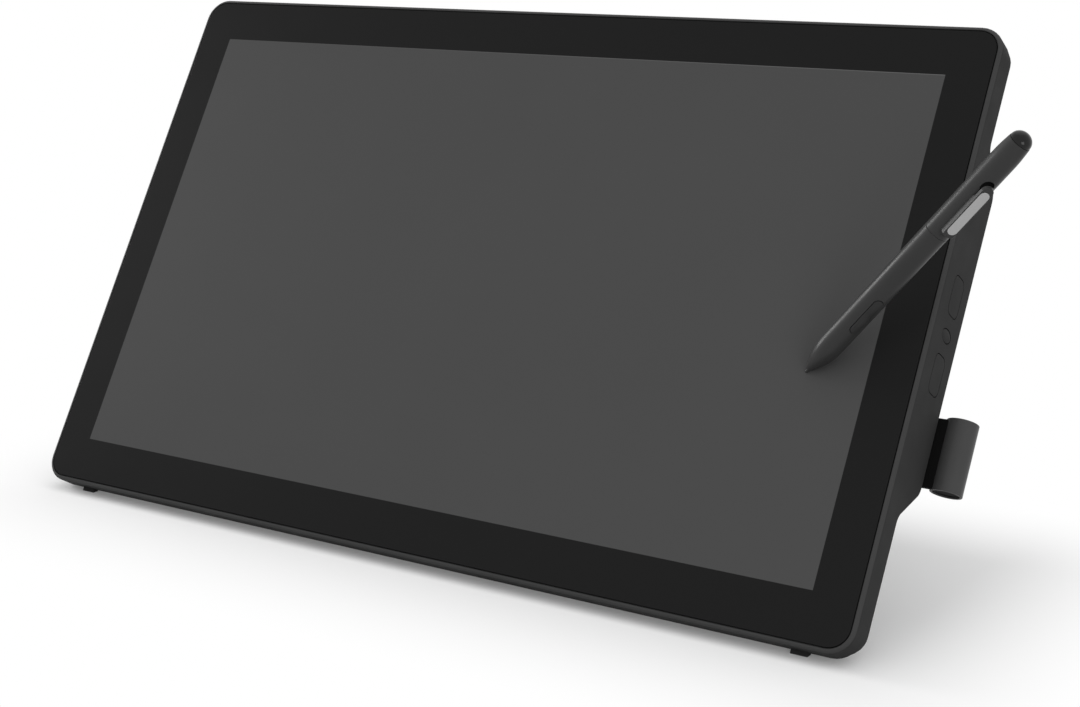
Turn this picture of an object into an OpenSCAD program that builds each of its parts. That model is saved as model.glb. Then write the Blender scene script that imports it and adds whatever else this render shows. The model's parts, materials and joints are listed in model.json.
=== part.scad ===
// Pen display on a fold-out stand, with its pen and a pen holder.
// Display pieces are drawn in the display's own frame: x to the right, y up the glass,
// z out of the glass, with the origin at the middle of the glass front.
// place_display() leans that frame back and stands it on the desk at z = 0.

/* [Screen] */
// Width of the lit area
active_w = 527; // [476:1:600]
// Height of the lit area
active_h = 296.5; // [250:0.5:340]
// Black border of the glass, left and right of the lit area
border_side = 25.5; // [18:0.5:36]
// Black border of the glass, above and below the lit area
border_top = 27.5; // [18:0.5:36]
// Thickness of the cover glass
glass_t = 2; // [1.4:0.1:3]
// Gap between the glass and the rim around it
glass_gap = 0.6; // [0.3:0.1:1]

/* [Casing] */
// Width of the rim around the glass, which is also the radius of its round edge
rim_w = 2.5; // [1.5:0.1:3]
// Outer corner radius of the casing
corner_r = 15; // [10:0.5:24]
// Depth of the casing at its thin edges
edge_depth = 20; // [18:0.5:28]
// Depth of the casing at the thick band across its back
band_depth = 43; // [38:0.5:52]
// How far the thick band reaches below the middle of the glass
band_below = 79; // [76:0.5:86]
// How far the thick band reaches above the middle of the glass
band_above = 95; // [88:0.5:100]
// Height of the slope from the thin edge to the thick band
slope_run = 19; // [16:0.5:28]
// Radius of the bends at both ends of the slope
slope_r = 8; // [4:0.5:10]
// How far the upper and lower walls lean inwards towards the back
bevel_in = 3.5; // [1:0.1:5]
// Radius of the casing's rear edges
rear_r = 3; // [2.6:0.1:4]
// Wall of the rear cover
wall = 2.5; // [2:0.1:3]

/* [Layers behind the glass] */
// Foam gasket between the glass and the panel
gasket_t = 0.6; // [0.3:0.1:1]
// Liquid crystal panel
lcd_t = 2; // [1.2:0.1:3]
// Light guide of the backlight
backlight_t = 5; // [3:0.1:6]
// Pen sensor board
sensor_t = 1.2; // [0.8:0.1:1.6]
// Steel shield behind the sensor
shield_t = 0.4; // [0.3:0.1:0.8]
// Chassis plate
chassis_t = 1.5; // [1:0.1:2]
// How far the panel reaches past the lit area
panel_margin = 5; // [3:0.5:8]

/* [Stand] */
// Lean of the glass, measured up from the desk
tilt = 59.2; // [48:0.1:70]
// Length of the stand's arms from the hinge to the bar
leg_len = 160; // [145:1:185]
// Distance of each arm from the middle of the display
leg_x = 105; // [85:1:120]
// Height of the hinge axis on the display, below its middle
hinge_below = 48; // [44:0.5:52]
// Radius of the hinge pins
pin_r = 4; // [3:0.1:5]
// Thickness of each arm
arm_t = 12; // [8:0.5:14]
// Width of each arm
arm_w = 14; // [12:0.5:15]
// Radius of the bar between the arms
bar_r = 7; // [5:0.1:8]
// Thickness of the rubber sleeves on the bar
sleeve_t = 2.5; // [2.2:0.1:4]
// Length of each rubber sleeve
sleeve_len = 34; // [20:1:60]
// Length of the release lever
lever_len = 62; // [45:1:70]
// Angle at which the released lever stands off the back
lever_rest = 16; // [14:0.5:20]

/* [Feet and rear pads] */
// Distance of each front foot from the side of the casing
foot_side = 32; // [28:1:90]
// Width of a front foot
foot_w = 10.5; // [8:0.5:24]
// Gap under the casing's lowest edge
foot_drop = 0.8; // [0.5:0.1:4]
// Radius of a rear pad
pad_r = 8; // [5:0.5:10]
// Distance of each rear pad from the side of the casing
pad_side = 64; // [52:1:76]

/* [Side buttons] */
// Distance of the power button above the middle
power_y = 5; // [2:0.5:8]
// Distance from the power button to each long button
button_pitch = 22.5; // [21.5:0.5:26]
// Depth of the button row behind the glass front
button_depth = 22.5; // [22:0.5:25]
// Length of a long button
button_len = 22; // [18:0.5:23]
// Width of a long button
button_w = 15.5; // [12:0.5:16]
// Height of the power button
power_h = 7; // [6:0.5:9]
// Width of the power button across the side wall
power_w = 14; // [12:0.5:15]
// Travel of a button
button_travel = 0.6; // [0.3:0.1:1]

/* [Mounting pattern and ports] */
// Spacing of the four mounting holes
vesa_pitch = 100; // [75:25:100]
// Radius of the threaded mounting holes
vesa_r = 1.65; // [1.6:0.05:2]
// Distance of the port group from the left side of the casing
port_side = 120; // [100:1:127]

/* [Pen holder] */
// Outer radius of the holder tube
holder_r = 9; // [8.8:0.1:11]
// Clearance of the pen in the holder's socket
socket_gap = 0.7; // [0.4:0.1:0.9]
// Length of the holder tube
holder_len = 41; // [36:1:50]
// Height of the holder's top below the middle of the display
holder_top = 34; // [32:1:38]
// Gap between the holder tube and the side of the casing
holder_gap = 1.6; // [1:0.1:4]

/* [Pen] */
// Length of the pen
pen_len = 180; // [172:1:188]
// Radius of the pen's barrel
pen_r = 7; // [6.5:0.1:7.2]
// Length of the pen's pointed nose
nose_len = 24.5; // [24.5:0.5:28]
// Distance from the tip to the joint between the two barrels
pen_seam = 110.5; // [108:0.5:113]
// Radius of the pen's tail
tail_r = 6.2; // [5.4:0.1:6.4]
// Where the tip stands, left of the lit area's right edge
pen_in = 35.3; // [30:0.1:90]
// Where the tip stands, above the middle of the glass
pen_y = -32.7; // [-60:0.1:0]
// Direction of the pen across the glass
pen_heading = 44.9; // [35:0.1:60]
// Lean of the pen off the glass
pen_lean = 24; // [24:0.5:35]
// Turn of the pen's switch and clip about its length
pen_roll = 64; // [0:1:120]

/* [Hidden] */
$fn = 64;

// Clearances
fit_gap = 0.3;
slip = 0.05;
rest_gap = 0.1;
over = 1;

// Casing
glass_w = active_w + 2*border_side;
glass_h = active_h + 2*border_top;
body_w = glass_w + 2*(glass_gap + rim_w);
body_h = glass_h + 2*(glass_gap + rim_w);
ledge_t = 1.4;
ledge_w = 2.5;
ledge_in = rim_w + glass_gap + ledge_w;
seam_z = glass_t + ledge_t;
slope_angle = atan((band_depth - edge_depth)/slope_run);

// Layers
stack_z = glass_t + gasket_t + lcd_t + backlight_t + sensor_t + shield_t;
chassis_back = stack_z + chassis_t;
panel_w = active_w + 2*panel_margin;
panel_h = active_h + 2*panel_margin;
gasket_lap = 1;
led_bar_h = 4;
sensor_lap = 3;
lcd_z = glass_t + gasket_t;
light_z = lcd_z + lcd_t;
sensor_z = light_z + backlight_t;
bevel_after = 0.8;
bevel_from = chassis_back + bevel_after;
bevel_angle = atan(bevel_in/(edge_depth - bevel_from));

// Standing on the desk
foot_x = body_w/2 - foot_side;
foot_len = 4;
foot_inset = 5;
foot_sink = 1.2;
knee_drop = body_h/2*sin(tilt) + bevel_from*cos(tilt);
heel_drop = (body_h/2 - bevel_in)*sin(tilt) + edge_depth*cos(tilt);
lift = max(knee_drop, heel_drop) + foot_drop;

// Stand
base_t = 4;
base_w = 36;
base_up = 34;
base_down = 22;
base_screw_up = 26;
base_screw_down = 16;
washer_t = 1;
ear_t = 5;
eye_wall = 4;
eye_r = pin_r + eye_wall;
ear_lap = 1;
ear_r = eye_r + ear_lap;
arm_end_wall = 1.8;
arm_end_r = bar_r + arm_end_wall;
sleeve_r = bar_r + sleeve_t;
arm_off = 1.2;
stand_screw_r = 2;
stand_head_r = 4;
stand_head_t = 2.2;
stand_head_sink = 2.4;
stand_thread = 8;
hinge_y = -hinge_below;
hinge_z = -(band_depth + base_t + eye_r + arm_off);
ear_in = arm_t/2 + washer_t;
ear_out = ear_in + ear_t;
lever_t = 5;
lever_w = 11;
lever_room = lever_t + 2*fit_gap;
pin_head_lap = 2;
pin_head_r = pin_r + pin_head_lap;
pin_head_t = 2;
clip_t = 1.2;
hinge_h = hinge_y*sin(tilt) + hinge_z*cos(tilt) + lift;
leg_drop = asin((hinge_h - sleeve_r)/leg_len);
leg_angle = tilt + leg_drop;
bar_end = 2;
bar_wall = 1.5;
bar_half = leg_x + arm_t/2 + bar_end;
sleeve_in = 12;
sleeve_x = leg_x - arm_t/2 - sleeve_in - sleeve_len/2;
plug_t = 2;
plug_len = 8;

// Mounting posts, boards and screws
post_r = 6;
post_depth = 14;
vesa_y = (band_above - band_below)/2;
screw_r = 1.5;
head_r = 2.9;
head_t = 1.4;
cover_screw_in = 16;
cover_screw_share = 0.36;
boss_wall = 1.6;
post_wall = 2;
board_t = 1.6;
board_up = 6;
board_in = 6;
board_w = 92;
board_h = 104;
board_side = 102;
board_x = body_w/2 - board_side;
board_thread = 6;
chip_w = 34;
chip_t = 5;
chip_y = 18;
part_w = 9;
part_h = 16;
part_t = 4;
part_y = 26;
part_pitch = 20;
io_w = 92;
io_h = 40;
port_x = body_w/2 - port_side;
port_reach = 10;
port_y = 8;
port_pitch = 28;
port_wall = 1;
port_floor = 2;
port_inset = 1;
tongue_in = 5;
io_thread = 4;
io_hole = 5;
video_w = 17;
video_h = 7.5;
usb_w = 15;
usb_h = 7.5;
dc_r = 5;
dc_wall = 1.8;
dc_pin_r = 1;
vent_n = 8;
vent_w = 3;
vent_h = 14;
vent_pitch = 8;
vent_x = 135;
vent_in = 21;
vent_y = band_above - vent_in;
lock_w = 7;
lock_h = 3;
lock_y = -20;
lock_frame = 4;
lock_t = 2;
vesa_clear = 1;
pad_sink = 1;
pad_t = 2.5;
pad_in = 24;
pad_x = body_w/2 - pad_side;
pad_rows = [band_above - pad_in, -band_below + pad_in];

// Buttons
button_proud = 0.1;
power_proud = 0.5;
button_round = 4.5;
power_round = power_h/2 - 0.1;
flange = 1.2;
flange_t = 1.5;
switch_h = 4;
switch_w = 6;
plunger_r = 1.7;
plunger_h = 1.2;
button_back = body_w/2 - wall - rest_gap - flange_t;
switch_face = button_back - button_travel - rest_gap;
switch_board_x = switch_face - switch_h;
switch_board_end = 5;
switch_board_len = 2*button_pitch + button_len + 2*switch_board_end;

// Pen holder
socket_r = pen_r + socket_gap;
holder_plate_t = 4;
holder_plate_in = 34;
holder_x = body_w/2 + holder_gap + holder_r;
holder_back = 7;
holder_z = -(band_depth + holder_back);
holder_foot = 3;
holder_rim = 1.5;
holder_step = 0.6;
holder_plate_low = 0.5;
holder_plate_short = 1.5;
holder_screw_in = 8;
holder_screw_y = 9;
holder_thread = 3;

// Pen
pen_x = active_w/2 - pen_in;
nib_r = 0.8;
nib_gap = 0.2;
nib_slip = 0.15;
pen_z = nib_gap + nib_r*(1 - sin(pen_lean));
nib_len = 26;
nose_cut = 2.6;
nose_power = 0.85;
tail_len = 5.8;
tail_taper = 12;
bore_r = 3.6;
coil_r = 2.6;
coil_len = 16;
coil_in = 9.4;
coil_slip = 0.3;
coil_room = 3;
circuit_t = 1;
switch_from = 39;
switch_len = 24.5;
pen_switch_w = 5;
switch_proud = 0.5;
switch_floor = 4.6;
switch_sink = 0.9;
clip_from = 115;
clip_len = 35;
clip_root = 24;
clip_w = 7;
clip_lift = 1.2;
clip_bar = 2.2;
clip_sink = 2;
barrel_end_t = 6;
plate_len = 30;
plate_w = 6;
plate_t = 0.8;
plate_sink = 0.5;
plate_in = 2;
tail_step = 0.1;
circuit_from = 68;
circuit_len = 70;
steps = 12;

// The whole set is centred over the origin
pen_dir = [cos(pen_lean)*cos(pen_heading), cos(pen_lean)*sin(pen_heading), sin(pen_lean)];
right_reach = pen_x + (pen_len - tail_r)*pen_dir.x + tail_r;
front_reach = -body_h/2*cos(tilt);
back_reach = hinge_y*cos(tilt) - hinge_z*sin(tilt) + leg_len*cos(leg_drop) + sleeve_r;
shift_x = (body_w/2 - right_reach)/2;
shift_y = -(front_reach + back_reach)/2;

// Frames

module place_display() {
  translate([shift_x, shift_y, lift]) rotate([tilt, 0, 0]) children();
}

module place_leg() {
  place_display() translate([0, hinge_y, hinge_z]) rotate([-leg_angle, 0, 0]) children();
}

module place_pen() {
  place_display() translate([pen_x, pen_y, pen_z])
    rotate([0, 0, pen_heading]) rotate([0, 90 - pen_lean, 0]) rotate([0, 0, pen_roll + 180])
      children();
}

// Turns a flat outline in y and z into a solid that runs along x from x0
module along_x(x0, len) {
  translate([x0, 0, 0]) rotate([90, 0, 90]) linear_extrude(len) children();
}

// Shared shapes

module rounded_rect(w, h, r) {
  square([w - 2*r, h], center = true);
  square([w, h - 2*r], center = true);
  for (sx = [-1, 1], sy = [-1, 1])
    translate([sx*(w/2 - r), sy*(h/2 - r)]) circle(r);
}

// A slot shape, long in its first direction
module stadium(len, w) {
  if (len > w) square([len - w, w], center = true);
  for (s = [-1, 1]) translate([s*(len - w)/2, 0]) circle(w/2);
}

// A plate parallel to the glass, with its front face depth behind the glass front
module layer(w, h, r, depth, t) {
  translate([0, 0, -depth - t]) linear_extrude(t) rounded_rect(w, h, r);
}

// A flat block parallel to the glass, centred at x and y
module block(x, y, w, h, depth, t) {
  translate([x - w/2, y - h/2, -depth - t]) cube([w, h, t]);
}

// A cylinder that runs back from depth
module peg(x, y, r, depth, t) {
  translate([x, y, -depth - t]) cylinder(h = t, r = r);
}

// Sweeps a profile of inward distance and height along a rectangle with round corners
module sweep_rect(w, h, r) {
  for (i = [0:3]) {
    a = i % 2 == 0 ? w : h;
    b = i % 2 == 0 ? h : w;
    rotate([0, 0, 90*i]) {
      translate([a/2, b/2 - r, 0]) rotate([90, 0, 0]) linear_extrude(b - 2*r)
        mirror([1, 0, 0]) children();
      translate([a/2 - r, b/2 - r, 0]) rotate_extrude(angle = 90)
        translate([r, 0]) mirror([1, 0, 0]) children();
    }
  }
}

function unit(v) = v/norm(v);

// Points of a round of radius r at corner b between a and c
function round_corner(a, b, c, r, n = 6) =
  let (u = unit(a - b), v = unit(c - b), half = acos(u*v)/2)
  let (o = b + unit(u + v)*r/sin(half), s = b + u*r/tan(half) - o, e = b + v*r/tan(half) - o)
  let (turn = (cross(s, e) > 0 ? 1 : -1)*(180 - 2*half))
  [for (i = [0:n])
    let (g = turn*i/n) o + [s.x*cos(g) - s.y*sin(g), s.x*sin(g) + s.y*cos(g)]];

// Side view of the casing, as y and z, moved inwards by inset and open at the front
function casing_side(inset, front) =
  let (top = body_h/2 - inset, edge = -(edge_depth - inset), band = -(band_depth - inset))
  let (shift = inset*tan(slope_angle/2))
  let (knee = -bevel_from + inset*tan(bevel_angle/2))
  let (heel = body_h/2 - bevel_in - inset*tan(45 - bevel_angle/2))
  let (a = [top, front], k = [top, knee], b = [heel, edge])
  let (c = [band_above + slope_run - shift, edge], d = [band_above - shift, band])
  let (e = [-band_below + shift, band], f = [-band_below - slope_run + shift, edge])
  let (g = [-heel, edge], m = [-top, knee], h = [-top, front])
  concat(
    [h, a, k],
    round_corner(k, b, c, rear_r - inset + (inset > 0 ? slip : 0)),
    round_corner(b, c, d, slope_r + inset),
    round_corner(c, d, e, slope_r - inset),
    round_corner(d, e, f, slope_r - inset),
    round_corner(e, f, g, slope_r + inset),
    round_corner(f, g, m, rear_r - inset + (inset > 0 ? slip : 0)),
    [m]
  );

module casing_solid(inset, front) {
  intersection() {
    translate([0, 0, -band_depth]) linear_extrude(band_depth + front)
      rounded_rect(body_w - 2*inset, body_h - 2*inset, corner_r - inset);
    along_x(-body_w/2, body_w) polygon(casing_side(inset, front));
  }
}

// Places that several pieces share

cover_screw_spots = [
  for (sx = [-1, 1], sy = [-1, 1], k = [1, cover_screw_share])
    [sx*k*(body_w/2 - cover_screw_in), sy*(body_h/2 - cover_screw_in)]
];

vesa_spots = [for (sx = [-1, 1], sy = [-1, 1]) [sx*vesa_pitch/2, vesa_y + sy*vesa_pitch/2]];

bracket_spots = [
  for (s = [-1, 1], y = [base_screw_up, -base_screw_down]) [s*leg_x, hinge_y + y]
];

board_spots = [
  for (s = [-1, 1], sx = [-1, 1], sy = [-1, 1])
    [s*board_x + sx*(board_w/2 - board_in), vesa_y + sy*(board_h/2 - board_in)]
];

io_spots = [
  for (sx = [-1, 1], sy = [-1, 1])
    [-port_x + sx*(io_w/2 - board_in), port_y + sy*(io_h/2 - board_in)]
];

holder_spots = [
  for (s = [-1, 1])
    [body_w/2 - holder_plate_in + holder_screw_in, -holder_top - holder_len/2 + s*holder_screw_y]
];

// Place, height, width, corner radius and how far it stands proud, for each button
button_rows = [
  [power_y + button_pitch, button_len, button_w, button_round, button_proud],
  [power_y, power_h, power_w, power_round, power_proud],
  [power_y - button_pitch, button_len, button_w, button_round, button_proud]
];

// Screen and casing

module cover_glass() {
  color([0.09, 0.09, 0.09]) place_display()
    layer(glass_w, glass_h, corner_r - rim_w - glass_gap, 0, glass_t);
}

module frame_profile() {
  intersection() {
    translate([rim_w, -rim_w]) circle(rim_w);
    translate([0, -rim_w]) square(rim_w);
  }
  translate([0, -seam_z]) square([rim_w, seam_z - rim_w]);
  translate([0, -seam_z]) square([ledge_in, ledge_t]);
  translate([wall + fit_gap, -stack_z]) square([ledge_in - wall - fit_gap, stack_z - seam_z]);
}

module front_frame() {
  color([0.2, 0.2, 0.2]) place_display()
    sweep_rect(body_w, body_h, corner_r) frame_profile();
}

module panel_gasket() {
  color([0.05, 0.05, 0.05]) place_display() difference() {
    block(0, 0, panel_w, panel_h, glass_t, gasket_t);
    block(0, 0, active_w + 2*gasket_lap, active_h + 2*gasket_lap, glass_t - over, gasket_t + 2*over);
  }
}

module lcd_panel() {
  color([0.29, 0.29, 0.29]) place_display() block(0, 0, panel_w, panel_h, lcd_z, lcd_t);
}

module light_guide() {
  color([0.9, 0.92, 0.95]) place_display()
    block(0, led_bar_h/2, panel_w, panel_h - led_bar_h, light_z, backlight_t);
}

module led_bar() {
  color([0.95, 0.93, 0.8]) place_display()
    block(0, -(panel_h - led_bar_h)/2, panel_w, led_bar_h, light_z, backlight_t);
}

module sensor_board() {
  color([0.1, 0.35, 0.2]) place_display()
    block(0, 0, panel_w + 2*sensor_lap, panel_h + 2*sensor_lap, sensor_z, sensor_t);
}

module shield_sheet() {
  color([0.7, 0.7, 0.72]) place_display()
    block(0, 0, panel_w + 2*sensor_lap, panel_h + 2*sensor_lap, sensor_z + sensor_t, shield_t);
}

module chassis() {
  inset = wall + fit_gap;
  color([0.6, 0.6, 0.62]) place_display() difference() {
    union() {
      layer(body_w - 2*inset, body_h - 2*inset, corner_r - inset, stack_z, chassis_t);
      for (p = board_spots) peg(p.x, p.y, screw_r + post_wall, chassis_back, board_up);
    }
    for (p = cover_screw_spots) peg(p.x, p.y, screw_r + rest_gap, stack_z - over, chassis_t + 2*over);
    for (p = board_spots) peg(p.x, p.y, screw_r + rest_gap, chassis_back, board_up + over);
  }
}

// Slots along the top of the band that let warm air out
module vents() {
  for (s = [-1, 1], i = [0:vent_n - 1])
    block(s*(vent_x + i*vent_pitch), vent_y, vent_w, vent_h, band_depth - wall - over, wall + 2*over);
}

// Outline of a button, grown by the same amount on all sides
module button_outline(b, grow) {
  rounded_rect(b[1] + 2*grow, b[2] + 2*grow, b[3] + grow);
}

module button_holes() {
  for (b = button_rows)
    translate([0, b[0], -button_depth]) along_x(body_w/2 - wall - over, wall + 2*over)
      button_outline(b, fit_gap);
}

module port_holes() {
  depth = band_depth - wall - over;
  t = wall + 2*over;
  block(-port_x - port_pitch, port_y, video_w + 2*fit_gap, video_h + 2*fit_gap, depth, t);
  block(-port_x, port_y, usb_w + 2*fit_gap, usb_h + 2*fit_gap, depth, t);
  peg(-port_x + port_pitch, port_y, dc_r + fit_gap, depth, t);
}

module rear_cover() {
  color([0.21, 0.21, 0.21]) place_display() difference() {
    union() {
      difference() {
        casing_solid(0, -seam_z);
        casing_solid(wall, over);
      }
      for (p = cover_screw_spots)
        peg(p.x, p.y, head_r + boss_wall, chassis_back, edge_depth - wall - chassis_back + slip);
      for (p = io_spots)
        peg(p.x, p.y, screw_r + post_wall, band_depth - port_reach, port_reach - wall + slip);
    }
    for (p = cover_screw_spots) {
      peg(p.x, p.y, screw_r + rest_gap, chassis_back - over, edge_depth);
      peg(p.x, p.y, head_r + rest_gap, edge_depth - head_t, edge_depth);
    }
    for (p = io_spots) peg(p.x, p.y, screw_r + rest_gap, band_depth - port_reach - over, over + io_hole);
    for (p = vesa_spots) peg(p.x, p.y, vesa_r + vesa_clear, band_depth - wall - over, wall + 2*over);
    for (p = bracket_spots)
      peg(p.x, p.y, stand_screw_r + rest_gap, band_depth - wall - over, wall + 2*over);
    for (p = holder_spots) peg(p.x, p.y, screw_r + rest_gap, band_depth - wall - over, wall + 2*over);
    vents();
    button_holes();
    port_holes();
    for (s = [-1, 1], y = pad_rows) peg(s*pad_x, y, pad_r, band_depth - pad_sink, over + pad_sink);
    for (s = [-1, 1]) foot_block(s);
    translate([0, lock_y, -button_depth]) along_x(-body_w/2 - over, wall + 2*over)
      square([lock_w, lock_h], center = true);
  }
}

module cover_screws() {
  color([0.45, 0.45, 0.47]) place_display() for (p = cover_screw_spots) {
    peg(p.x, p.y, screw_r, stack_z, edge_depth - head_t - stack_z);
    peg(p.x, p.y, head_r, edge_depth - head_t, head_t);
  }
}

// Metal posts between the chassis and the back, threaded for the mounting holes and the stand
module mount_posts() {
  len = band_depth - wall - chassis_back;
  color([0.72, 0.72, 0.74]) place_display() difference() {
    for (p = concat(vesa_spots, bracket_spots)) peg(p.x, p.y, post_r, chassis_back, len);
    for (p = vesa_spots) peg(p.x, p.y, vesa_r, band_depth - wall - post_depth, post_depth + over);
    for (p = bracket_spots)
      peg(p.x, p.y, stand_screw_r, band_depth - wall - post_depth, post_depth + over);
  }
}

// Circuit boards and ports

module circuit(side) {
  place_display() difference() {
    union() {
      block(side*board_x, vesa_y, board_w, board_h, chassis_back + board_up, board_t);
      block(side*board_x, vesa_y + chip_y, chip_w, chip_w, chassis_back + board_up + board_t, chip_t);
      for (i = [-1:1])
        block(side*board_x + i*part_pitch, vesa_y - part_y, part_w, part_h,
          chassis_back + board_up + board_t, part_t);
    }
    for (p = board_spots)
      peg(p.x, p.y, screw_r + rest_gap, chassis_back + board_up - over, board_t + 2*over);
  }
}

module main_board() {
  color([0.08, 0.3, 0.16]) circuit(1);
}

module power_board() {
  color([0.3, 0.22, 0.1]) circuit(-1);
}

module board_screws() {
  depth = chassis_back + board_up + board_t;
  color([0.75, 0.75, 0.75]) place_display() {
    for (p = board_spots) {
      peg(p.x, p.y, screw_r, depth - board_thread, board_thread);
      peg(p.x, p.y, head_r, depth, head_t);
    }
    for (p = io_spots) {
      peg(p.x, p.y, screw_r, band_depth - port_reach - board_t, board_t + io_thread);
      peg(p.x, p.y, head_r, band_depth - port_reach - board_t - head_t, head_t);
    }
  }
}

module io_board() {
  depth = band_depth - port_reach - board_t;
  color([0.08, 0.3, 0.16]) place_display() difference() {
    block(-port_x, port_y, io_w, io_h, depth, board_t);
    for (p = io_spots) peg(p.x, p.y, screw_r + rest_gap, depth - over, board_t + 2*over);
  }
}

// A connector shell with a tongue in its mouth
module connector(x, w, h) {
  depth = band_depth - port_reach;
  difference() {
    block(x, port_y, w, h, depth, port_reach);
    difference() {
      block(x, port_y, w - 2*port_wall, h - 2*port_wall, depth + port_floor, port_reach);
      block(x, port_y, w - tongue_in, port_wall, depth, port_reach - port_inset);
    }
  }
}

module video_port() {
  color([0.55, 0.55, 0.57]) place_display() connector(-port_x - port_pitch, video_w, video_h);
}

module usb_port() {
  color([0.55, 0.55, 0.57]) place_display() connector(-port_x, usb_w, usb_h);
}

module dc_inlet() {
  x = -port_x + port_pitch;
  depth = band_depth - port_reach;
  color([0.08, 0.08, 0.08]) place_display() difference() {
    peg(x, port_y, dc_r, depth, port_reach);
    difference() {
      peg(x, port_y, dc_r - dc_wall, depth + port_floor, port_reach);
      peg(x, port_y, dc_pin_r, depth, port_reach - port_inset);
    }
  }
}

// Side buttons

module button_board() {
  color([0.08, 0.3, 0.16]) place_display()
    translate([switch_board_x - board_t, power_y - switch_board_len/2, -band_depth + wall + rest_gap])
      cube([board_t, switch_board_len, band_depth - wall - chassis_back - 2*rest_gap]);
}

module tact_switches() {
  color([0.15, 0.15, 0.15]) place_display() for (b = button_rows)
    translate([0, b[0], -button_depth]) {
      along_x(switch_board_x, switch_h - plunger_h) square(switch_w, center = true);
      along_x(switch_board_x, switch_h) circle(plunger_r);
    }
}

module button(i) {
  b = button_rows[i];
  color([0.22, 0.22, 0.22]) place_display() translate([0, b[0], -button_depth]) {
    along_x(button_back, flange_t) button_outline(b, flange);
    along_x(button_back, body_w/2 + b[4] - button_back) button_outline(b, 0);
  }
}

module upper_button() {
  button(0);
}

module power_button() {
  button(1);
}

module lower_button() {
  button(2);
}

// Feet, pads and lock

module foot_block(side) {
  deep = edge_depth - foot_inset;
  translate([side*foot_x - foot_w/2, -body_h/2 - lift, -deep])
    cube([foot_w, lift + foot_sink, foot_len]);
}

module front_feet() {
  color([0.05, 0.05, 0.05]) intersection() {
    place_display() for (s = [-1, 1]) foot_block(s);
    translate([shift_x - body_w, shift_y - body_h, 0]) cube([2*body_w, 2*body_h, 2*lift]);
  }
}

module rear_pads() {
  color([0.05, 0.05, 0.05]) place_display() for (s = [-1, 1], y = pad_rows)
    peg(s*pad_x, y, pad_r, band_depth - pad_sink, pad_t);
}

module lock_plate() {
  color([0.6, 0.6, 0.62]) place_display()
    translate([0, lock_y, -button_depth]) along_x(-body_w/2 + wall, lock_t) difference() {
      square([lock_w + 2*lock_frame, lock_h + 2*lock_frame], center = true);
      square([lock_w, lock_h], center = true);
    }
}

// Stand

module hinge_bracket(side) {
  x = side*leg_x;
  color([0.16, 0.16, 0.16]) place_display() difference() {
    union() {
      block(x, hinge_y + (base_up - base_down)/2, base_w, base_up + base_down, band_depth, base_t);
      for (s = [-1, 1]) along_x(x + s*(ear_in + ear_t/2) - ear_t/2, ear_t) {
        translate([hinge_y, hinge_z]) circle(ear_r);
        translate([hinge_y - ear_r, hinge_z]) square([2*ear_r, -band_depth - hinge_z]);
      }
    }
    translate([0, hinge_y, hinge_z]) along_x(x - base_w, 2*base_w) circle(pin_r + slip);
    for (y = [base_screw_up, -base_screw_down]) {
      peg(x, hinge_y + y, stand_screw_r + rest_gap, band_depth - over, base_t + 2*over);
      peg(x, hinge_y + y, stand_head_r + rest_gap, band_depth + base_t - stand_head_sink, base_t);
    }
  }
}

module hinge_bracket_left() {
  hinge_bracket(-1);
}

module hinge_bracket_right() {
  hinge_bracket(1);
}

module bracket_screws() {
  color([0.5, 0.5, 0.52]) place_display() for (p = bracket_spots) {
    peg(p.x, p.y, stand_screw_r - slip, band_depth - wall - stand_thread,
        wall + stand_thread + base_t - stand_head_sink);
    peg(p.x, p.y, stand_head_r, band_depth + base_t - stand_head_sink, stand_head_t);
  }
}

// A headed pin that lies on the hinge axis and runs outwards past its bracket by tail
module hinge_pin(side, tail) {
  len = 2*ear_out + tail + clip_t + fit_gap;
  color([0.7, 0.7, 0.72]) place_display() translate([side*leg_x, hinge_y, hinge_z])
    mirror([side < 0 ? 1 : 0, 0, 0]) {
      along_x(-ear_out, len) circle(pin_r);
      along_x(-ear_out - pin_head_t, pin_head_t) circle(pin_head_r);
    }
}

module hinge_pin_left() {
  hinge_pin(-1, 0);
}

module hinge_pin_right() {
  hinge_pin(1, lever_room);
}

module pin_clips() {
  color([0.6, 0.6, 0.6]) place_display() for (s = [-1, 1])
    translate([s*leg_x, hinge_y, hinge_z]) mirror([s < 0 ? 1 : 0, 0, 0])
      along_x(ear_out + (s > 0 ? lever_room : 0), clip_t) difference() {
        circle(pin_head_r);
        circle(pin_r + slip);
      }
}

module friction_washers() {
  color([0.75, 0.65, 0.35]) place_display() for (s = [-1, 1], k = [-1, 1])
    translate([0, hinge_y, hinge_z])
      along_x(s*leg_x + k*(ear_in - washer_t/2) - washer_t/2 + slip, washer_t - 2*slip) difference() {
        circle(eye_r);
        circle(pin_r + slip);
      }
}

module release_lever() {
  color([0.12, 0.12, 0.12]) place_display() translate([0, hinge_y, hinge_z])
    along_x(leg_x + ear_out + fit_gap, lever_t) rotate(-lever_rest) difference() {
      union() {
        circle(eye_r);
        translate([0, -lever_w/2]) square([lever_len - lever_w/2, lever_w]);
        translate([lever_len - lever_w/2, 0]) circle(lever_w/2);
      }
      circle(pin_r + slip);
    }
}

module leg_arm(side) {
  color([0.16, 0.16, 0.16]) place_leg() along_x(side*leg_x - arm_t/2, arm_t) difference() {
    union() {
      circle(eye_r);
      translate([0, -arm_w/2]) square([leg_len, arm_w]);
      translate([leg_len, 0]) circle(arm_end_r);
    }
    circle(pin_r + slip);
    translate([leg_len, 0]) circle(bar_r + slip);
  }
}

module leg_arm_left() {
  leg_arm(-1);
}

module leg_arm_right() {
  leg_arm(1);
}

module leg_bar() {
  color([0.55, 0.55, 0.57]) place_leg() translate([0, leg_len, 0])
    along_x(-bar_half, 2*bar_half) difference() {
      circle(bar_r);
      circle(bar_r - bar_wall);
    }
}

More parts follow.
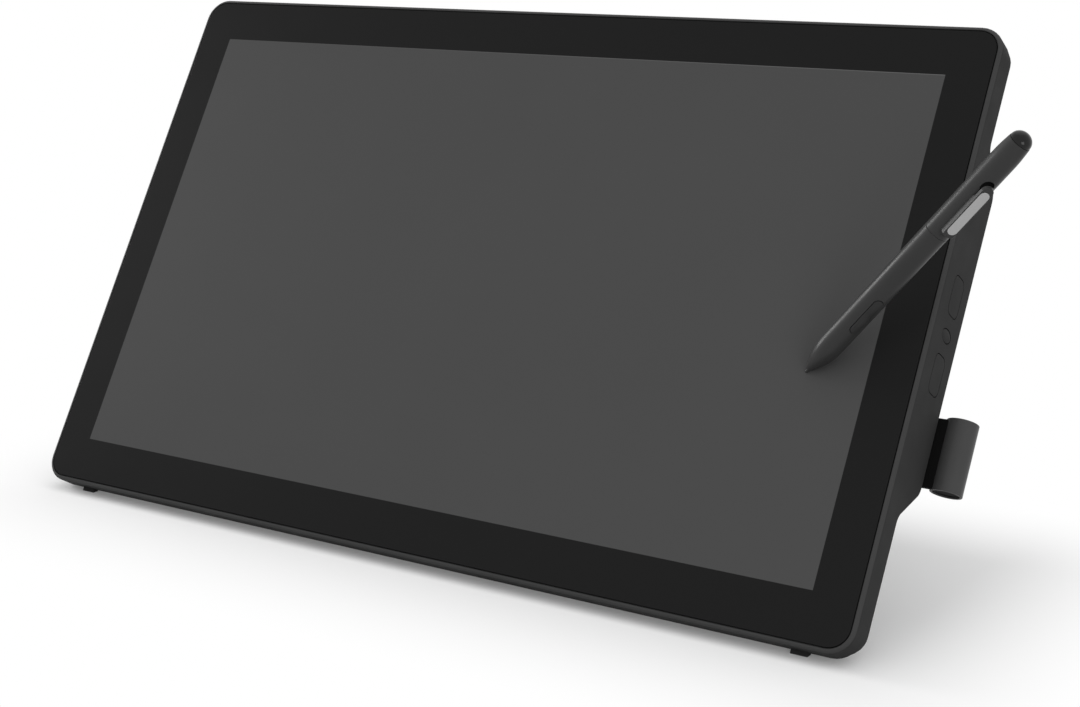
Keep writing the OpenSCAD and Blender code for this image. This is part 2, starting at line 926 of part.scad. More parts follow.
module leg_sleeves() {
  color([0.06, 0.06, 0.06]) place_leg() translate([0, leg_len, 0]) for (s = [-1, 1])
    along_x(s*sleeve_x - sleeve_len/2, sleeve_len) difference() {
      circle(sleeve_r);
      circle(bar_r + slip);
    }
}

module bar_plugs() {
  color([0.08, 0.08, 0.08]) place_leg() translate([0, leg_len, 0]) for (s = [-1, 1])
    mirror([s < 0 ? 1 : 0, 0, 0]) {
      along_x(bar_half, plug_t) circle(bar_r);
      along_x(bar_half - plug_len, plug_len) circle(bar_r - bar_wall - slip);
    }
}

// Pen holder

module pen_holder() {
  color([0.24, 0.24, 0.24]) place_display() difference() {
    union() {
      translate([holder_x, -holder_top, holder_z]) rotate([90, 0, 0])
        cylinder(h = holder_len, r = holder_r);
      translate([body_w/2 - holder_plate_in, -holder_top - holder_len + holder_plate_low,
          -band_depth - holder_plate_t])
        cube([holder_x - body_w/2 + holder_plate_in, holder_len - holder_plate_short, holder_plate_t]);
    }
    translate([holder_x, -holder_top + over, holder_z]) rotate([90, 0, 0])
      cylinder(h = holder_len - 2*holder_foot + over, r = socket_r);
    translate([holder_x, -holder_top - holder_len + holder_foot, holder_z]) rotate([90, 0, 0])
      cylinder(h = holder_foot + over, r = holder_r - holder_rim);
    for (p = holder_spots) peg(p.x, p.y, screw_r + rest_gap, band_depth - over, holder_plate_t + 2*over);
  }
}

module holder_cap() {
  color([0.06, 0.06, 0.06]) place_display()
    translate([holder_x, -holder_top - holder_len + holder_foot, holder_z]) rotate([90, 0, 0])
      cylinder(h = holder_foot - holder_step, r = holder_r - holder_rim - slip);
}

module holder_screws() {
  color([0.5, 0.5, 0.52]) place_display() for (p = holder_spots) {
    peg(p.x, p.y, screw_r, band_depth - wall - holder_thread, wall + holder_thread + holder_plate_t);
    peg(p.x, p.y, head_r, band_depth + holder_plate_t, head_t);
  }
}

// Pen, drawn from its tip at the origin along z, with its switch and clip towards x

function nose_r(z) = pen_r*pow(sin(90*min(z/nose_len, 1)), nose_power);

function tail_curve(z) =
  tail_r + (pen_r - tail_r)*cos(90*max(0, (z - pen_len + tail_len + tail_taper)/tail_taper));

module pen_nib() {
  color([0.1, 0.1, 0.1]) place_pen() {
    translate([0, 0, nib_r]) cylinder(h = nib_len - nib_r, r = nib_r);
    translate([0, 0, nib_r]) sphere(nib_r);
  }
}

module pen_grip() {
  nose = [for (i = [0:steps]) let (z = nose_cut + (nose_len - nose_cut)*i/steps) [nose_r(z), z]];
  color([0.24, 0.24, 0.24]) place_pen() difference() {
    rotate_extrude() polygon(concat([[0, nose_cut]], nose, [[pen_r, pen_seam], [0, pen_seam]]));
    cylinder(h = nose_cut + coil_in, r = nib_r + nib_slip);
    translate([0, 0, nose_cut + coil_in]) cylinder(h = coil_len + coil_room, r = coil_r + rest_gap);
    translate([0, 0, nose_cut + coil_in + coil_len + coil_room - over]) cylinder(h = pen_len, r = bore_r);
    translate([0, 0, switch_from + switch_len/2]) rotate([0, 90, 0])
      translate([0, 0, switch_floor - switch_sink]) linear_extrude(pen_r)
        stadium(switch_len + 2*fit_gap, pen_switch_w + 2*fit_gap);
  }
}

module pen_switch() {
  color([0.18, 0.18, 0.18]) place_pen() intersection() {
    translate([0, 0, switch_from + switch_len/2]) rotate([0, 90, 0]) translate([0, 0, switch_floor])
      linear_extrude(pen_r) stadium(switch_len, pen_switch_w);
    cylinder(h = pen_len, r = pen_r + switch_proud);
  }
}

module pen_coil() {
  color([0.6, 0.35, 0.15]) place_pen() translate([0, 0, nose_cut + coil_in]) difference() {
    cylinder(h = coil_len, r = coil_r);
    translate([0, 0, -over]) cylinder(h = coil_len + 2*over, r = nib_r + coil_slip);
  }
}

module pen_circuit() {
  half = sqrt(pow(bore_r - rest_gap, 2) - pow(circuit_t/2, 2));
  color([0.08, 0.3, 0.16]) place_pen() translate([-circuit_t/2, -half, circuit_from])
    cube([circuit_t, 2*half, circuit_len]);
}

module pen_barrel() {
  end = pen_len - tail_len;
  tail = [for (i = [0:steps]) let (z = end - tail_taper + tail_taper*i/steps) [tail_curve(z), z]];
  bar_x = pen_r + clip_lift;
  color([0.24, 0.24, 0.24]) place_pen() difference() {
    union() {
      rotate_extrude() polygon(concat([[0, pen_seam], [pen_r, pen_seam]], tail, [[0, end]]));
      translate([bar_x, -clip_w/2, clip_from]) cube([clip_bar, clip_w, clip_len]);
      translate([pen_r - clip_sink, -clip_w/2, clip_from])
        cube([clip_sink + clip_lift + slip, clip_w, clip_root]);
    }
    translate([0, 0, pen_seam - over]) cylinder(h = end - pen_seam - barrel_end_t, r = bore_r);
    translate([bar_x + clip_bar - plate_sink, -plate_w/2 - slip, clip_from + plate_in - slip])
      cube([plate_sink + over, plate_w + 2*slip, plate_len + 2*slip]);
  }
}

module pen_plate() {
  color([0.75, 0.75, 0.75]) place_pen()
    translate([pen_r + clip_lift + clip_bar - plate_sink, 0, clip_from + plate_in + plate_len/2])
      rotate([0, 90, 0]) linear_extrude(plate_t) stadium(plate_len, plate_w);
}

module pen_tail() {
  start = pen_len - tail_len;
  base = tail_r - tail_step;
  dome = [for (i = [0:steps]) [base*cos(90*i/steps), start + tail_len*sin(90*i/steps)]];
  color([0.04, 0.04, 0.04]) place_pen() rotate_extrude() polygon(concat([[0, start]], dome));
}

cover_glass();
front_frame();
panel_gasket();
lcd_panel();
light_guide();
led_bar();
sensor_board();
shield_sheet();
chassis();
rear_cover();
cover_screws();
mount_posts();
main_board();
power_board();
board_screws();
io_board();
video_port();
usb_port();
dc_inlet();
button_board();
tact_switches();
upper_button();
power_button();
lower_button();
front_feet();
rear_pads();
lock_plate();
hinge_bracket_left();
hinge_bracket_right();
bracket_screws();
hinge_pin_left();
hinge_pin_right();
pin_clips();
friction_washers();
release_lever();
leg_arm_left();
leg_arm_right();
leg_bar();
leg_sleeves();
bar_plugs();
pen_holder();
holder_cap();
holder_screws();
pen_nib();
pen_grip();
pen_switch();
pen_coil();
pen_circuit();
pen_barrel();
pen_plate();
pen_tail();
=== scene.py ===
"""Looks of a pen display on its stand: glass, casing, keys, pen holder, pen, stand and a white studio floor."""

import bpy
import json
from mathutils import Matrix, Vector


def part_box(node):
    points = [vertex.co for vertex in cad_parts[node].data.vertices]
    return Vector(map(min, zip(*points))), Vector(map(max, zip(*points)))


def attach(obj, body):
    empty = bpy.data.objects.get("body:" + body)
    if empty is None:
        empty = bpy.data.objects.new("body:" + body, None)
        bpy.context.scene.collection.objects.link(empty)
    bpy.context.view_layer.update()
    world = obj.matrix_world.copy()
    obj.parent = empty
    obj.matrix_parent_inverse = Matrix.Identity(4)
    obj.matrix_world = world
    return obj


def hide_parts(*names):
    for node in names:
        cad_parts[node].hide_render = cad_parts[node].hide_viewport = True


bl_info = {
    "name": "Pen Display Looks",
    "version": (1, 0, 0),
    "blender": (4, 5, 0),
    "location": "View3D > Sidebar > Pen Display",
    "description": "Builds the visible pieces of a pen display around its packed frame",
    "category": "Object",
}

import json
import math

import bmesh
import bpy
from mathutils import Matrix, Vector

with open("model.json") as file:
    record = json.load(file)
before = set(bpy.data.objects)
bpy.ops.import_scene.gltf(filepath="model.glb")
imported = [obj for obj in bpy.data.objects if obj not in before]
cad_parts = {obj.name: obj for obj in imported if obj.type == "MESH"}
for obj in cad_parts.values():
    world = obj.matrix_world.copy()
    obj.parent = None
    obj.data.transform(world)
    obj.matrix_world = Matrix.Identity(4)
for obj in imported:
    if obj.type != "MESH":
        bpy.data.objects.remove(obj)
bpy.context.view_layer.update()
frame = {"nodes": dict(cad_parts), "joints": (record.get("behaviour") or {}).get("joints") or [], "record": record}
NODES = frame["nodes"]
JOINTS = {joint["name"]: joint for joint in frame["joints"]}
MOUNTS = {mount["name"]: mount for mount in frame["record"]["mounts"]}
SLOTS = {part["node"]: part["material_slot"] for part in frame["record"]["subparts"]}
MM = 0.001
SAME = 1e-7  # points closer than this are one point
FIT = 0.05*MM  # room round a pin, a plug or a tube
ARC_STEPS = 8  # flats in a small round
ROUND_STEPS = 64  # flats round a turned piece
FEW_STEPS = 32  # flats round a screw or a nib
SHARP = math.radians(32)  # edges that turn more than this stay sharp


# Frames that the pieces are drawn in

def axes_at(origin, x, z):
    """A frame at origin, from its x and z directions."""
    x, z = Vector(x).normalized(), Vector(z).normalized()
    return Matrix.Translation(origin) @ Matrix((x, z.cross(x), z)).transposed().to_4x4()


def node_box(node, place):
    """Lowest and highest corner of a CAD node, measured in the frame place."""
    back = place.inverted()
    points = [back @ vertex.co for vertex in NODES[node].data.vertices]
    return tuple(Vector([pick(values) for values in zip(*points)]) for pick in (min, max))


def display_frame():
    """Frame of the glass: x to the right, y up the glass, z out of it, from the middle of its front."""
    turned = axes_at((0, 0, 0), (1, 0, 0), -Vector(MOUNTS["vesa_holes"]["axis"]))
    low, high = node_box("cover_glass", turned)
    return turned @ Matrix.Translation(((low.x + high.x)/2, (low.y + high.y)/2, high.z))


def pen_frame():
    """Frame of the pen: z from its tip to its tail, x out through its switch."""
    switch_out = -Vector(JOINTS["pen_switch_press"]["axis"])
    turned = axes_at((0, 0, 0), switch_out, JOINTS["nib_press"]["axis"])
    low, high = node_box("pen_nib", turned)
    return turned @ Matrix.Translation(((low.x + high.x)/2, (low.y + high.y)/2, low.z))


def leg_frame():
    """Frame of the stand's leg: x along the hinge, y along the arms to the bar."""
    hinge, axis = Vector(JOINTS["stand_hinge"]["pos_m"]), Vector(JOINTS["stand_hinge"]["axis"])
    low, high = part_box("leg_bar")
    return axes_at(hinge, axis, axis.cross((low + high)/2 - hinge))


DISPLAY = display_frame()
PEN = pen_frame()
LEG = leg_frame()
HOLDER = axes_at(MOUNTS["pen_socket"]["pos_m"], (1, 0, 0), MOUNTS["pen_socket"]["axis"])
SIDEWAYS = axes_at((0, 0, 0), (0, 1, 0), (1, 0, 0))
HINGE = Matrix.Translation(DISPLAY.inverted() @ Vector(JOINTS["stand_hinge"]["pos_m"]))


# Outlines

SIGNS = ((-1, -1), (1, -1), (1, 1), (-1, 1))  # the corners of a rectangle, in turn


def arc(centre, radius, start, end, steps=ARC_STEPS):
    """Points of an arc between two angles in degrees."""
    turns = [math.radians(start + (end - start)*i/steps) for i in range(steps + 1)]
    return [(centre[0] + radius*math.cos(a), centre[1] + radius*math.sin(a)) for a in turns]


def rounded_path(corners, closed=True):
    """Points along a path of (x, y, radius) corners, with an arc of that radius at each corner."""
    path = []
    for i, (x, y, radius) in enumerate(corners):
        corner = Vector((x, y))
        if radius == 0 or (not closed and i in (0, len(corners) - 1)):
            path.append((x, y))
            continue
        before = (Vector(corners[i - 1][:2]) - corner).normalized()
        after = (Vector(corners[(i + 1) % len(corners)][:2]) - corner).normalized()
        half = before.angle(after)/2
        centre = corner + (before + after).normalized()*radius/math.sin(half)
        start = corner + before*radius/math.tan(half) - centre
        end = corner + after*radius/math.tan(half) - centre
        turn = math.copysign(math.pi - 2*half, start.cross(end))
        path += [tuple(centre + Matrix.Rotation(turn*k/ARC_STEPS, 2) @ start) for k in range(ARC_STEPS + 1)]
    return path


def rectangle(width, height, radius=0.0, centre=(0, 0)):
    """A rectangle with round corners."""
    x, y = centre
    return rounded_path([(x + sx*width/2, y + sy*height/2, radius) for sx, sy in SIGNS])


def pill(length, width, centre=(0, 0)):
    """A slot shape, long in x."""
    x, y = centre
    reach = (length - width)/2
    steps = ROUND_STEPS//4
    return arc((x + reach, y), width/2, -90, 90, steps) + arc((x - reach, y), width/2, 90, 270, steps)


def disc(radius, centre=(0, 0), steps=ROUND_STEPS):
    """A circle."""
    return arc(centre, radius, 0, 360*(1 - 1/steps), steps - 1)


def link(length, near, far, half_width):
    """A bar with a round eye at each end, from the origin along x."""
    near_turn = math.degrees(math.asin(half_width/near))
    far_turn = math.degrees(math.asin(half_width/far))
    steps = ROUND_STEPS//2
    return (arc((0, 0), near, near_turn, 360 - near_turn, steps)
            + arc((length, 0), far, far_turn - 180, 180 - far_turn, steps))


# Meshes

def ring(bm, points):
    """A closed loop of edges through points."""
    verts = [bm.verts.new(point) for point in points]
    return [bm.edges.new(pair) for pair in zip(verts, verts[1:] + verts[:1])]


def loft(bm, rings, closed=False):
    """Bridges each ring of points to the next one, and returns their edges."""
    loops = [ring(bm, points) for points in rings]
    for near, far in zip(loops, loops[1:] + (loops[:1] if closed else [])):
        bmesh.ops.bridge_loops(bm, edges=near + far)
    return loops


def closed_up(bm):
    """The mesh with its double points merged and its faces outwards."""
    bmesh.ops.remove_doubles(bm, verts=bm.verts, dist=SAME)
    bmesh.ops.recalc_face_normals(bm, faces=bm.faces)
    return bm


def stacked(outline_at, steps):
    """Rings of an outline at pairs of inset and height."""
    return [[(x, y, height) for x, y in outline_at(inset)] for inset, height in steps]


def capped_loft(rings):
    """A solid through rings of points, closed at both ends."""
    bm = bmesh.new()
    loops = loft(bm, rings)
    for loop in (loops[0], loops[-1]):
        bmesh.ops.contextual_create(bm, geom=loop)
    bmesh.ops.recalc_face_normals(bm, faces=bm.faces)
    return bm


def prism(outline, low, high):
    """A solid of that outline between two heights."""
    return capped_loft([[(x, y, z) for x, y in outline] for z in (low, high)])


def lathe(profile, steps=ROUND_STEPS):
    """A solid of revolution round z, from a profile of (radius, height)."""
    bm = bmesh.new()
    verts = [bm.verts.new((radius, 0, height)) for radius, height in profile]
    edges = [bm.edges.new(pair) for pair in zip(verts, verts[1:])]
    bmesh.ops.spin(bm, geom=verts + edges, cent=(0, 0, 0), axis=(0, 0, 1), angle=2*math.pi,
                   steps=steps, use_merge=True, use_duplicate=False)
    return closed_up(bm)


def lathed_ring(profile):
    """A ring of revolution round z, from a closed profile of (radius, height)."""
    return lathe(profile + profile[:1])


def turned_solid(corners, steps=ROUND_STEPS):
    """A solid of revolution round z, from corners of (radius, height, round)."""
    return lathe(rounded_path(corners, closed=False), steps)


def moved(bm, place):
    """The mesh, moved by a matrix."""
    bmesh.ops.transform(bm, matrix=place, verts=bm.verts)
    return bm


def joined(parts):
    """Several meshes as one, left as separate shells."""
    result = bmesh.new()
    for part in parts:
        mesh = bpy.data.meshes.new("scratch")
        part.to_mesh(mesh)
        part.free()
        result.from_mesh(mesh)
        bpy.data.meshes.remove(mesh)
    return result


def scratch_object(bm):
    """A passing object that holds a mesh while a modifier works on it."""
    mesh = bpy.data.meshes.new("scratch")
    bm.to_mesh(mesh)
    bm.free()
    scratch = bpy.data.objects.new("scratch", mesh)
    bpy.context.scene.collection.objects.link(scratch)
    return scratch


def drop(scratch):
    """Removes a passing object and its mesh."""
    mesh = scratch.data
    bpy.data.objects.remove(scratch)
    bpy.data.meshes.remove(mesh)


def modified(bm, kind, **settings):
    """The mesh after one modifier."""
    scratch = scratch_object(bm)
    modifier = scratch.modifiers.new(kind, kind)
    for key, value in settings.items():
        setattr(modifier, key, value)
    result = bmesh.new()
    result.from_object(scratch, bpy.context.evaluated_depsgraph_get())
    drop(scratch)
    return result


def combined(bm, tool, operation="DIFFERENCE"):
    """The mesh cut by a tool, joined to it or cut down to it."""
    other = scratch_object(tool)
    result = modified(bm, "BOOLEAN", object=other, operation=operation, solver="MANIFOLD")
    drop(other)
    return result


def cut(bm, tools):
    """The mesh after one tool after another has cut it."""
    for tool in tools:
        bm = combined(bm, tool)
    return bm


def softened(bm, width, segments=3, pick=None):
    """The mesh with a round on its sharp edges, or on those that pick accepts."""
    bmesh.ops.dissolve_degenerate(bm, dist=SAME, edges=bm.edges)
    edges = [edge for edge in bm.edges
             if edge.is_manifold and edge.calc_face_angle(0) > SHARP and (pick is None or pick(edge))]
    bmesh.ops.bevel(bm, geom=edges, offset=width, offset_type="OFFSET", segments=segments, profile=0.5,
                    affect="EDGES", clamp_overlap=True, material=-1)
    return bm


def add_piece(bm, name, place, body, finishes, replaces=()):
    """Puts a mesh into the scene as a piece with its finishes, which rides on a body."""
    moved(bm, place)
    mesh = bpy.data.meshes.new(name)
    bm.to_mesh(mesh)
    bm.free()
    mesh.polygons.foreach_set("use_smooth", [True]*len(mesh.polygons))
    mesh.set_sharp_from_angle(angle=SHARP)
    for kind in finishes:
        mesh.materials.append(finish(kind))
    piece = bpy.data.objects.new(name, mesh)
    bpy.context.scene.collection.objects.link(piece)
    piece.modifiers.new("even_normals", "WEIGHTED_NORMAL").keep_sharp = True
    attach(piece, body)
    if replaces:
        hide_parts(*replaces)
    return piece


# Finishes

def add_node(tree, kind, inputs=None, **settings):
    """A shader node with its settings, and its inputs' values or links."""
    made = tree.nodes.new(kind)
    for key, value in settings.items():
        setattr(made, key, value)
    for key, value in (inputs or {}).items():
        if isinstance(value, bpy.types.NodeSocket):
            tree.links.new(value, made.inputs[key])
        else:
            made.inputs[key].default_value = value
    return made


def start_finish(name, colour, roughness, specular=0.5, metallic=0.0):
    """A material with its plain values set on the shader."""
    material = bpy.data.materials.new(name)
    material.use_nodes = True
    material.diffuse_color = (*colour, 1)
    shader = material.node_tree.nodes["Principled BSDF"]
    shader.inputs["Base Color"].default_value = (*colour, 1)
    shader.inputs["Roughness"].default_value = roughness
    shader.inputs["Specular IOR Level"].default_value = specular
    shader.inputs["Metallic"].default_value = metallic
    return material, material.node_tree, shader


def place_on(tree, stretch=(1, 1, 1), turn=(0, 0, 0)):
    """Object coordinates, turned and stretched."""
    where = add_node(tree, "ShaderNodeTexCoord").outputs["Object"]
    return add_node(tree, "ShaderNodeMapping", {"Vector": where, "Rotation": turn, "Scale": stretch}).outputs[0]


def noise(tree, where, size, detail=3.0):
    """Soft random spots of about that size."""
    inputs = {"Vector": where, "Scale": 1/size, "Detail": detail, "Roughness": 0.55}
    return add_node(tree, "ShaderNodeTexNoise", inputs).outputs[0]


def mix_colours(tree, shader, share_high, low, high):
    """Gives the shader a colour between two."""
    mix = add_node(tree, "ShaderNodeMix", {0: share_high, 6: (*low, 1), 7: (*high, 1)}, data_type="RGBA")
    tree.links.new(mix.outputs[2], shader.inputs["Base Color"])


def mottle(tree, shader, where, colour, spread, size):
    """Lets the colour drift a little over the surface."""
    low, high = ([min(1.0, c*(1 + k*spread)) for c in colour] for k in (-1, 1))
    mix_colours(tree, shader, noise(tree, where, size), low, high)


def vary_roughness(tree, shader, spots, low, high):
    """Lets the gloss drift, as handling leaves it."""
    inputs = {"Value": spots, "From Min": 0.3, "From Max": 0.7, "To Min": low, "To Max": high}
    tree.links.new(add_node(tree, "ShaderNodeMapRange", inputs).outputs[0], shader.inputs["Roughness"])


def raise_grain(tree, shader, height, depth):
    """Turns a height into bumps of that depth."""
    bump = add_node(tree, "ShaderNodeBump", {"Height": height, "Distance": depth, "Strength": 1.0})
    tree.links.new(bump.outputs[0], shader.inputs["Normal"])


def moulded(name, colour, roughness, specular=0.5, grain=0.45*MM, depth=0.02*MM):
    """Moulded plastic with a spark-eroded grain."""
    material, tree, shader = start_finish(name, colour, roughness, specular)
    where = place_on(tree)
    mottle(tree, shader, where, colour, 0.10, 35*MM)
    vary_roughness(tree, shader, noise(tree, where, 24*MM), roughness - 0.05, roughness + 0.06)
    raise_grain(tree, shader, noise(tree, where, grain, 2.0), depth)
    return material


def soft_rubber(name, colour):
    """Matt rubber with a coarse, dusty grain."""
    material, tree, shader = start_finish(name, colour, 0.85, 0.35)
    where = place_on(tree)
    mottle(tree, shader, where, colour, 0.25, 5*MM)
    vary_roughness(tree, shader, noise(tree, where, 8*MM), 0.75, 0.95)
    raise_grain(tree, shader, noise(tree, where, 0.7*MM, 4.0), 0.06*MM)
    return material


def brushed(name, colour, roughness, along=(1, 40, 40), depth=0.004*MM):
    """Metal with fine lines, stretched along one direction."""
    material, tree, shader = start_finish(name, colour, roughness, 0.5, 1.0)
    lines = noise(tree, place_on(tree, along), 4*MM, 5.0)
    mottle(tree, shader, place_on(tree), colour, 0.06, 12*MM)
    vary_roughness(tree, shader, lines, roughness - 0.08, roughness + 0.1)
    raise_grain(tree, shader, lines, depth)
    return material


def powder_coat(name, colour):
    """Powder coat over a casting, with its orange peel."""
    material, tree, shader = start_finish(name, colour, 0.5, 0.4)
    where = place_on(tree)
    mottle(tree, shader, where, colour, 0.14, 18*MM)
    vary_roughness(tree, shader, noise(tree, where, 14*MM), 0.44, 0.6)
    peel = add_node(tree, "ShaderNodeTexVoronoi", {"Vector": where, "Scale": 1/(0.9*MM), "Smoothness": 1.0},
                    feature="SMOOTH_F1")
    raise_grain(tree, shader, peel.outputs["Distance"], 0.05*MM)
    return material


def polished(name, colour):
    """Polished black plastic with faint wipe marks."""
    material, tree, shader = start_finish(name, colour, 0.1, 0.25)
    where = place_on(tree, (1, 6, 1))
    vary_roughness(tree, shader, noise(tree, where, 3*MM), 0.07, 0.14)
    mottle(tree, shader, where, colour, 0.2, 6*MM)
    return material


def etched_glass(name, colour, settings):
    """The matt front of the glass over a print or the panel, with faint wiping streaks."""
    material, tree, shader = start_finish(name, colour, settings.gloss, settings.glint)
    where = place_on(tree)
    mottle(tree, shader, where, colour, 0.03, 90*MM)
    streaks = place_on(tree, (1, 2.2, 2.2), (0, 0, math.radians(24)))
    vary_roughness(tree, shader, noise(tree, streaks, 70*MM), settings.gloss - 0.03, settings.gloss + 0.05)
    raise_grain(tree, shader, noise(tree, where, 0.5*MM, 2.0), 0.004*MM)
    return material


def circuit_board(name, colour):
    """Solder mask over copper tracks."""
    material, tree, shader = start_finish(name, colour, 0.4)
    where = place_on(tree)
    tracks = add_node(tree, "ShaderNodeTexBrick", {
        "Vector": where, "Scale": 1/(18*MM), "Mortar Size": 0.03, "Color1": (*colour, 1),
        "Color2": (*[c*0.8 for c in colour], 1), "Mortar": (*[min(1, c*1.7) for c in colour], 1)})
    tree.links.new(tracks.outputs[0], shader.inputs["Base Color"])
    raise_grain(tree, shader, tracks.outputs[1], 0.03*MM)
    return material


def clear_acrylic(name, colour):
    """The light guide: pale acrylic with a field of tiny dots."""
    material, tree, shader = start_finish(name, colour, 0.2)
    inputs = {"Vector": place_on(tree), "Scale": 1/(2*MM), "Randomness": 0.0}
    dots = add_node(tree, "ShaderNodeTexVoronoi", inputs)
    raise_grain(tree, shader, dots.outputs["Distance"], 0.05*MM)
    return material


def wound_copper(name, colour):
    """Enamelled wire in close turns."""
    material, tree, shader = start_finish(name, colour, 0.35, 0.5, 0.8)
    inputs = {"Vector": place_on(tree), "Scale": 1/(1.2*MM), "Distortion": 0.4}
    turns = add_node(tree, "ShaderNodeTexWave", inputs)
    mottle(tree, shader, place_on(tree), colour, 0.2, 3*MM)
    raise_grain(tree, shader, turns.outputs[1], 0.1*MM)
    return material


def painted_panel_highlight(name, settings):
    """A painted highlight for the panel's edge under the glass: a colour that grows from the lit area's colour to
    a lighter one towards the right.
    """
    material, tree, shader = start_finish(name, settings.painted_highlight_colour, settings.gloss, settings.glint)
    across = add_node(tree, "ShaderNodeSeparateXYZ", {0: place_on(tree)}).outputs[0]
    low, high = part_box("lcd_panel")
    fade = add_node(tree, "ShaderNodeMapRange",
                    {"Value": across, "From Min": low.x, "From Max": high.x, "To Min": 0.05, "To Max": 1.0})
    # Painted highlight: lighter towards the right.
    mix_colours(tree, shader, fade.outputs[0], settings.lit_colour, settings.painted_highlight_colour)
    return material


PLAIN_FINISHES = {
    "diffuser": (clear_acrylic, "light_guide_acrylic", (0.8, 0.82, 0.85)),
    "led": (moulded, "led_strip", (0.85, 0.82, 0.6), 0.4),
    "foam": (soft_rubber, "foam_gasket", (0.02, 0.02, 0.02)),
    "board": (circuit_board, "green_board", (0.03, 0.16, 0.08)),
    "power": (circuit_board, "brown_board", (0.2, 0.13, 0.05)),
    "steel": (brushed, "bright_steel", (0.6, 0.6, 0.62), 0.3),
    "alloy": (brushed, "cast_alloy", (0.5, 0.5, 0.52), 0.45, (4, 4, 4), 0.02*MM),
    "stand_metal": (powder_coat, "black_powder_coat", (0.02, 0.02, 0.021)),
    "bar": (brushed, "satin_tube", (0.35, 0.35, 0.36), 0.34, (1, 30, 30)),
    "bronze": (brushed, "sintered_bronze", (0.55, 0.42, 0.2), 0.4, (3, 3, 3), 0.03*MM),
    "black": (moulded, "black_plastic", (0.012, 0.012, 0.012), 0.42),
    "rubber": (soft_rubber, "black_rubber", (0.012, 0.012, 0.012)),
    "copper": (wound_copper, "coil_wire", (0.6, 0.3, 0.12)),
    "tail": (polished, "tail_gloss", (0.006, 0.006, 0.006)),
    # Near-black plastic of the holder's end cap, darkened further as painted shade in its recess; also used as
    # painted shade on the holder's arm and the scoop under the clip.
    "cap": (moulded, "cap_plastic", (0.006, 0.006, 0.006), 0.6, 0.05),
}
MADE_FINISHES = {}


def set_finishes():
    """The finishes that follow the settings."""
    looks = bpy.context.scene.pen_display
    casing, pen, glass = looks.casing, looks.pen, looks.glass
    return {
        "glass": (etched_glass, "printed_border", glass.border_colour, glass),
        "lit_area": (etched_glass, "lit_area", glass.lit_colour, glass),
        "panel": (etched_glass, "panel_glass", glass.lit_colour, glass),
        "painted_panel_highlight": (painted_panel_highlight, "panel_edge", glass),
        "rim": (moulded, "rim_plastic", casing.rim_colour, casing.rim_roughness, casing.rim_specular),
        "casing": (moulded, "casing_plastic", casing.colour, casing.roughness, casing.specular),
        "keys": (moulded, "key_plastic", casing.key_colour, casing.roughness, casing.specular),
        "holder": (moulded, "holder_plastic", pen.holder_colour_painted_light, pen.roughness, pen.holder_specular),
        "pen_body": (moulded, "pen_plastic", pen.colour, pen.roughness, pen.specular, 0.3*MM, 0.004*MM),
        "pen_black": (moulded, "pen_switch_plastic", pen.switch_colour, pen.roughness, pen.specular),
        "plate": (brushed, "plate_metal", pen.plate_colour, 0.38, (1, 1, 24), 0.002*MM),
    }


def finish(kind):
    """A finish by its name, made once. The names include the record's material slots."""
    if kind not in MADE_FINISHES:
        maker, *values = (PLAIN_FINISHES | set_finishes())[kind]
        MADE_FINISHES[kind] = maker(*values)
    return MADE_FINISHES[kind]


# Sizes and colours that a user would change

def size(name, description, default):
    """A length setting."""
    return bpy.props.FloatProperty(name=name, description=description, default=default,
                                   unit="LENGTH", precision=5)


def share(name, description, default):
    """A setting from 0 to 1."""
    return bpy.props.FloatProperty(name=name, description=description, default=default, min=0, max=1,
                                   subtype="FACTOR")


def colour(name, description, default):
    """A colour setting."""
    return bpy.props.FloatVectorProperty(name=name, description=description, default=default, size=3, min=0,
                                         max=1, subtype="COLOR")


def place_of(name, description, default):
    """A place or direction setting."""
    return bpy.props.FloatVectorProperty(name=name, description=description, default=default, size=3,
                                         subtype="XYZ", unit="LENGTH")


class GlassSettings(bpy.types.PropertyGroup):
    """The sheet of glass over the screen."""

    border_side: size("Side border", "Black border left and right of the lit area", 25.5*MM)
    border_top: size("Top border", "Black border above and below the lit area", 27.5*MM)
    edge_round: size("Edge round", "Round on the glass's front edge", 0.4*MM)
    # Width of the strips round the lit area; only the top one carries the painted highlight.
    line: size("Panel line", "Width of the bright line at the panel's edge", 0.5*MM)
    border_colour: colour("Border", "Print behind the glass", (0.0155, 0.0155, 0.0155))
    lit_colour: colour("Lit area", "Panel behind the glass when it is off", (0.081, 0.081, 0.081))
    # Colour of the painted highlight on the panel's top edge.
    painted_highlight_colour: colour("Line", "The panel's edge", (0.16, 0.16, 0.16))
    gloss: share("Roughness", "Roughness of the etched front", 0.42)
    glint: share("Reflection", "Strength of its reflection", 0.03)


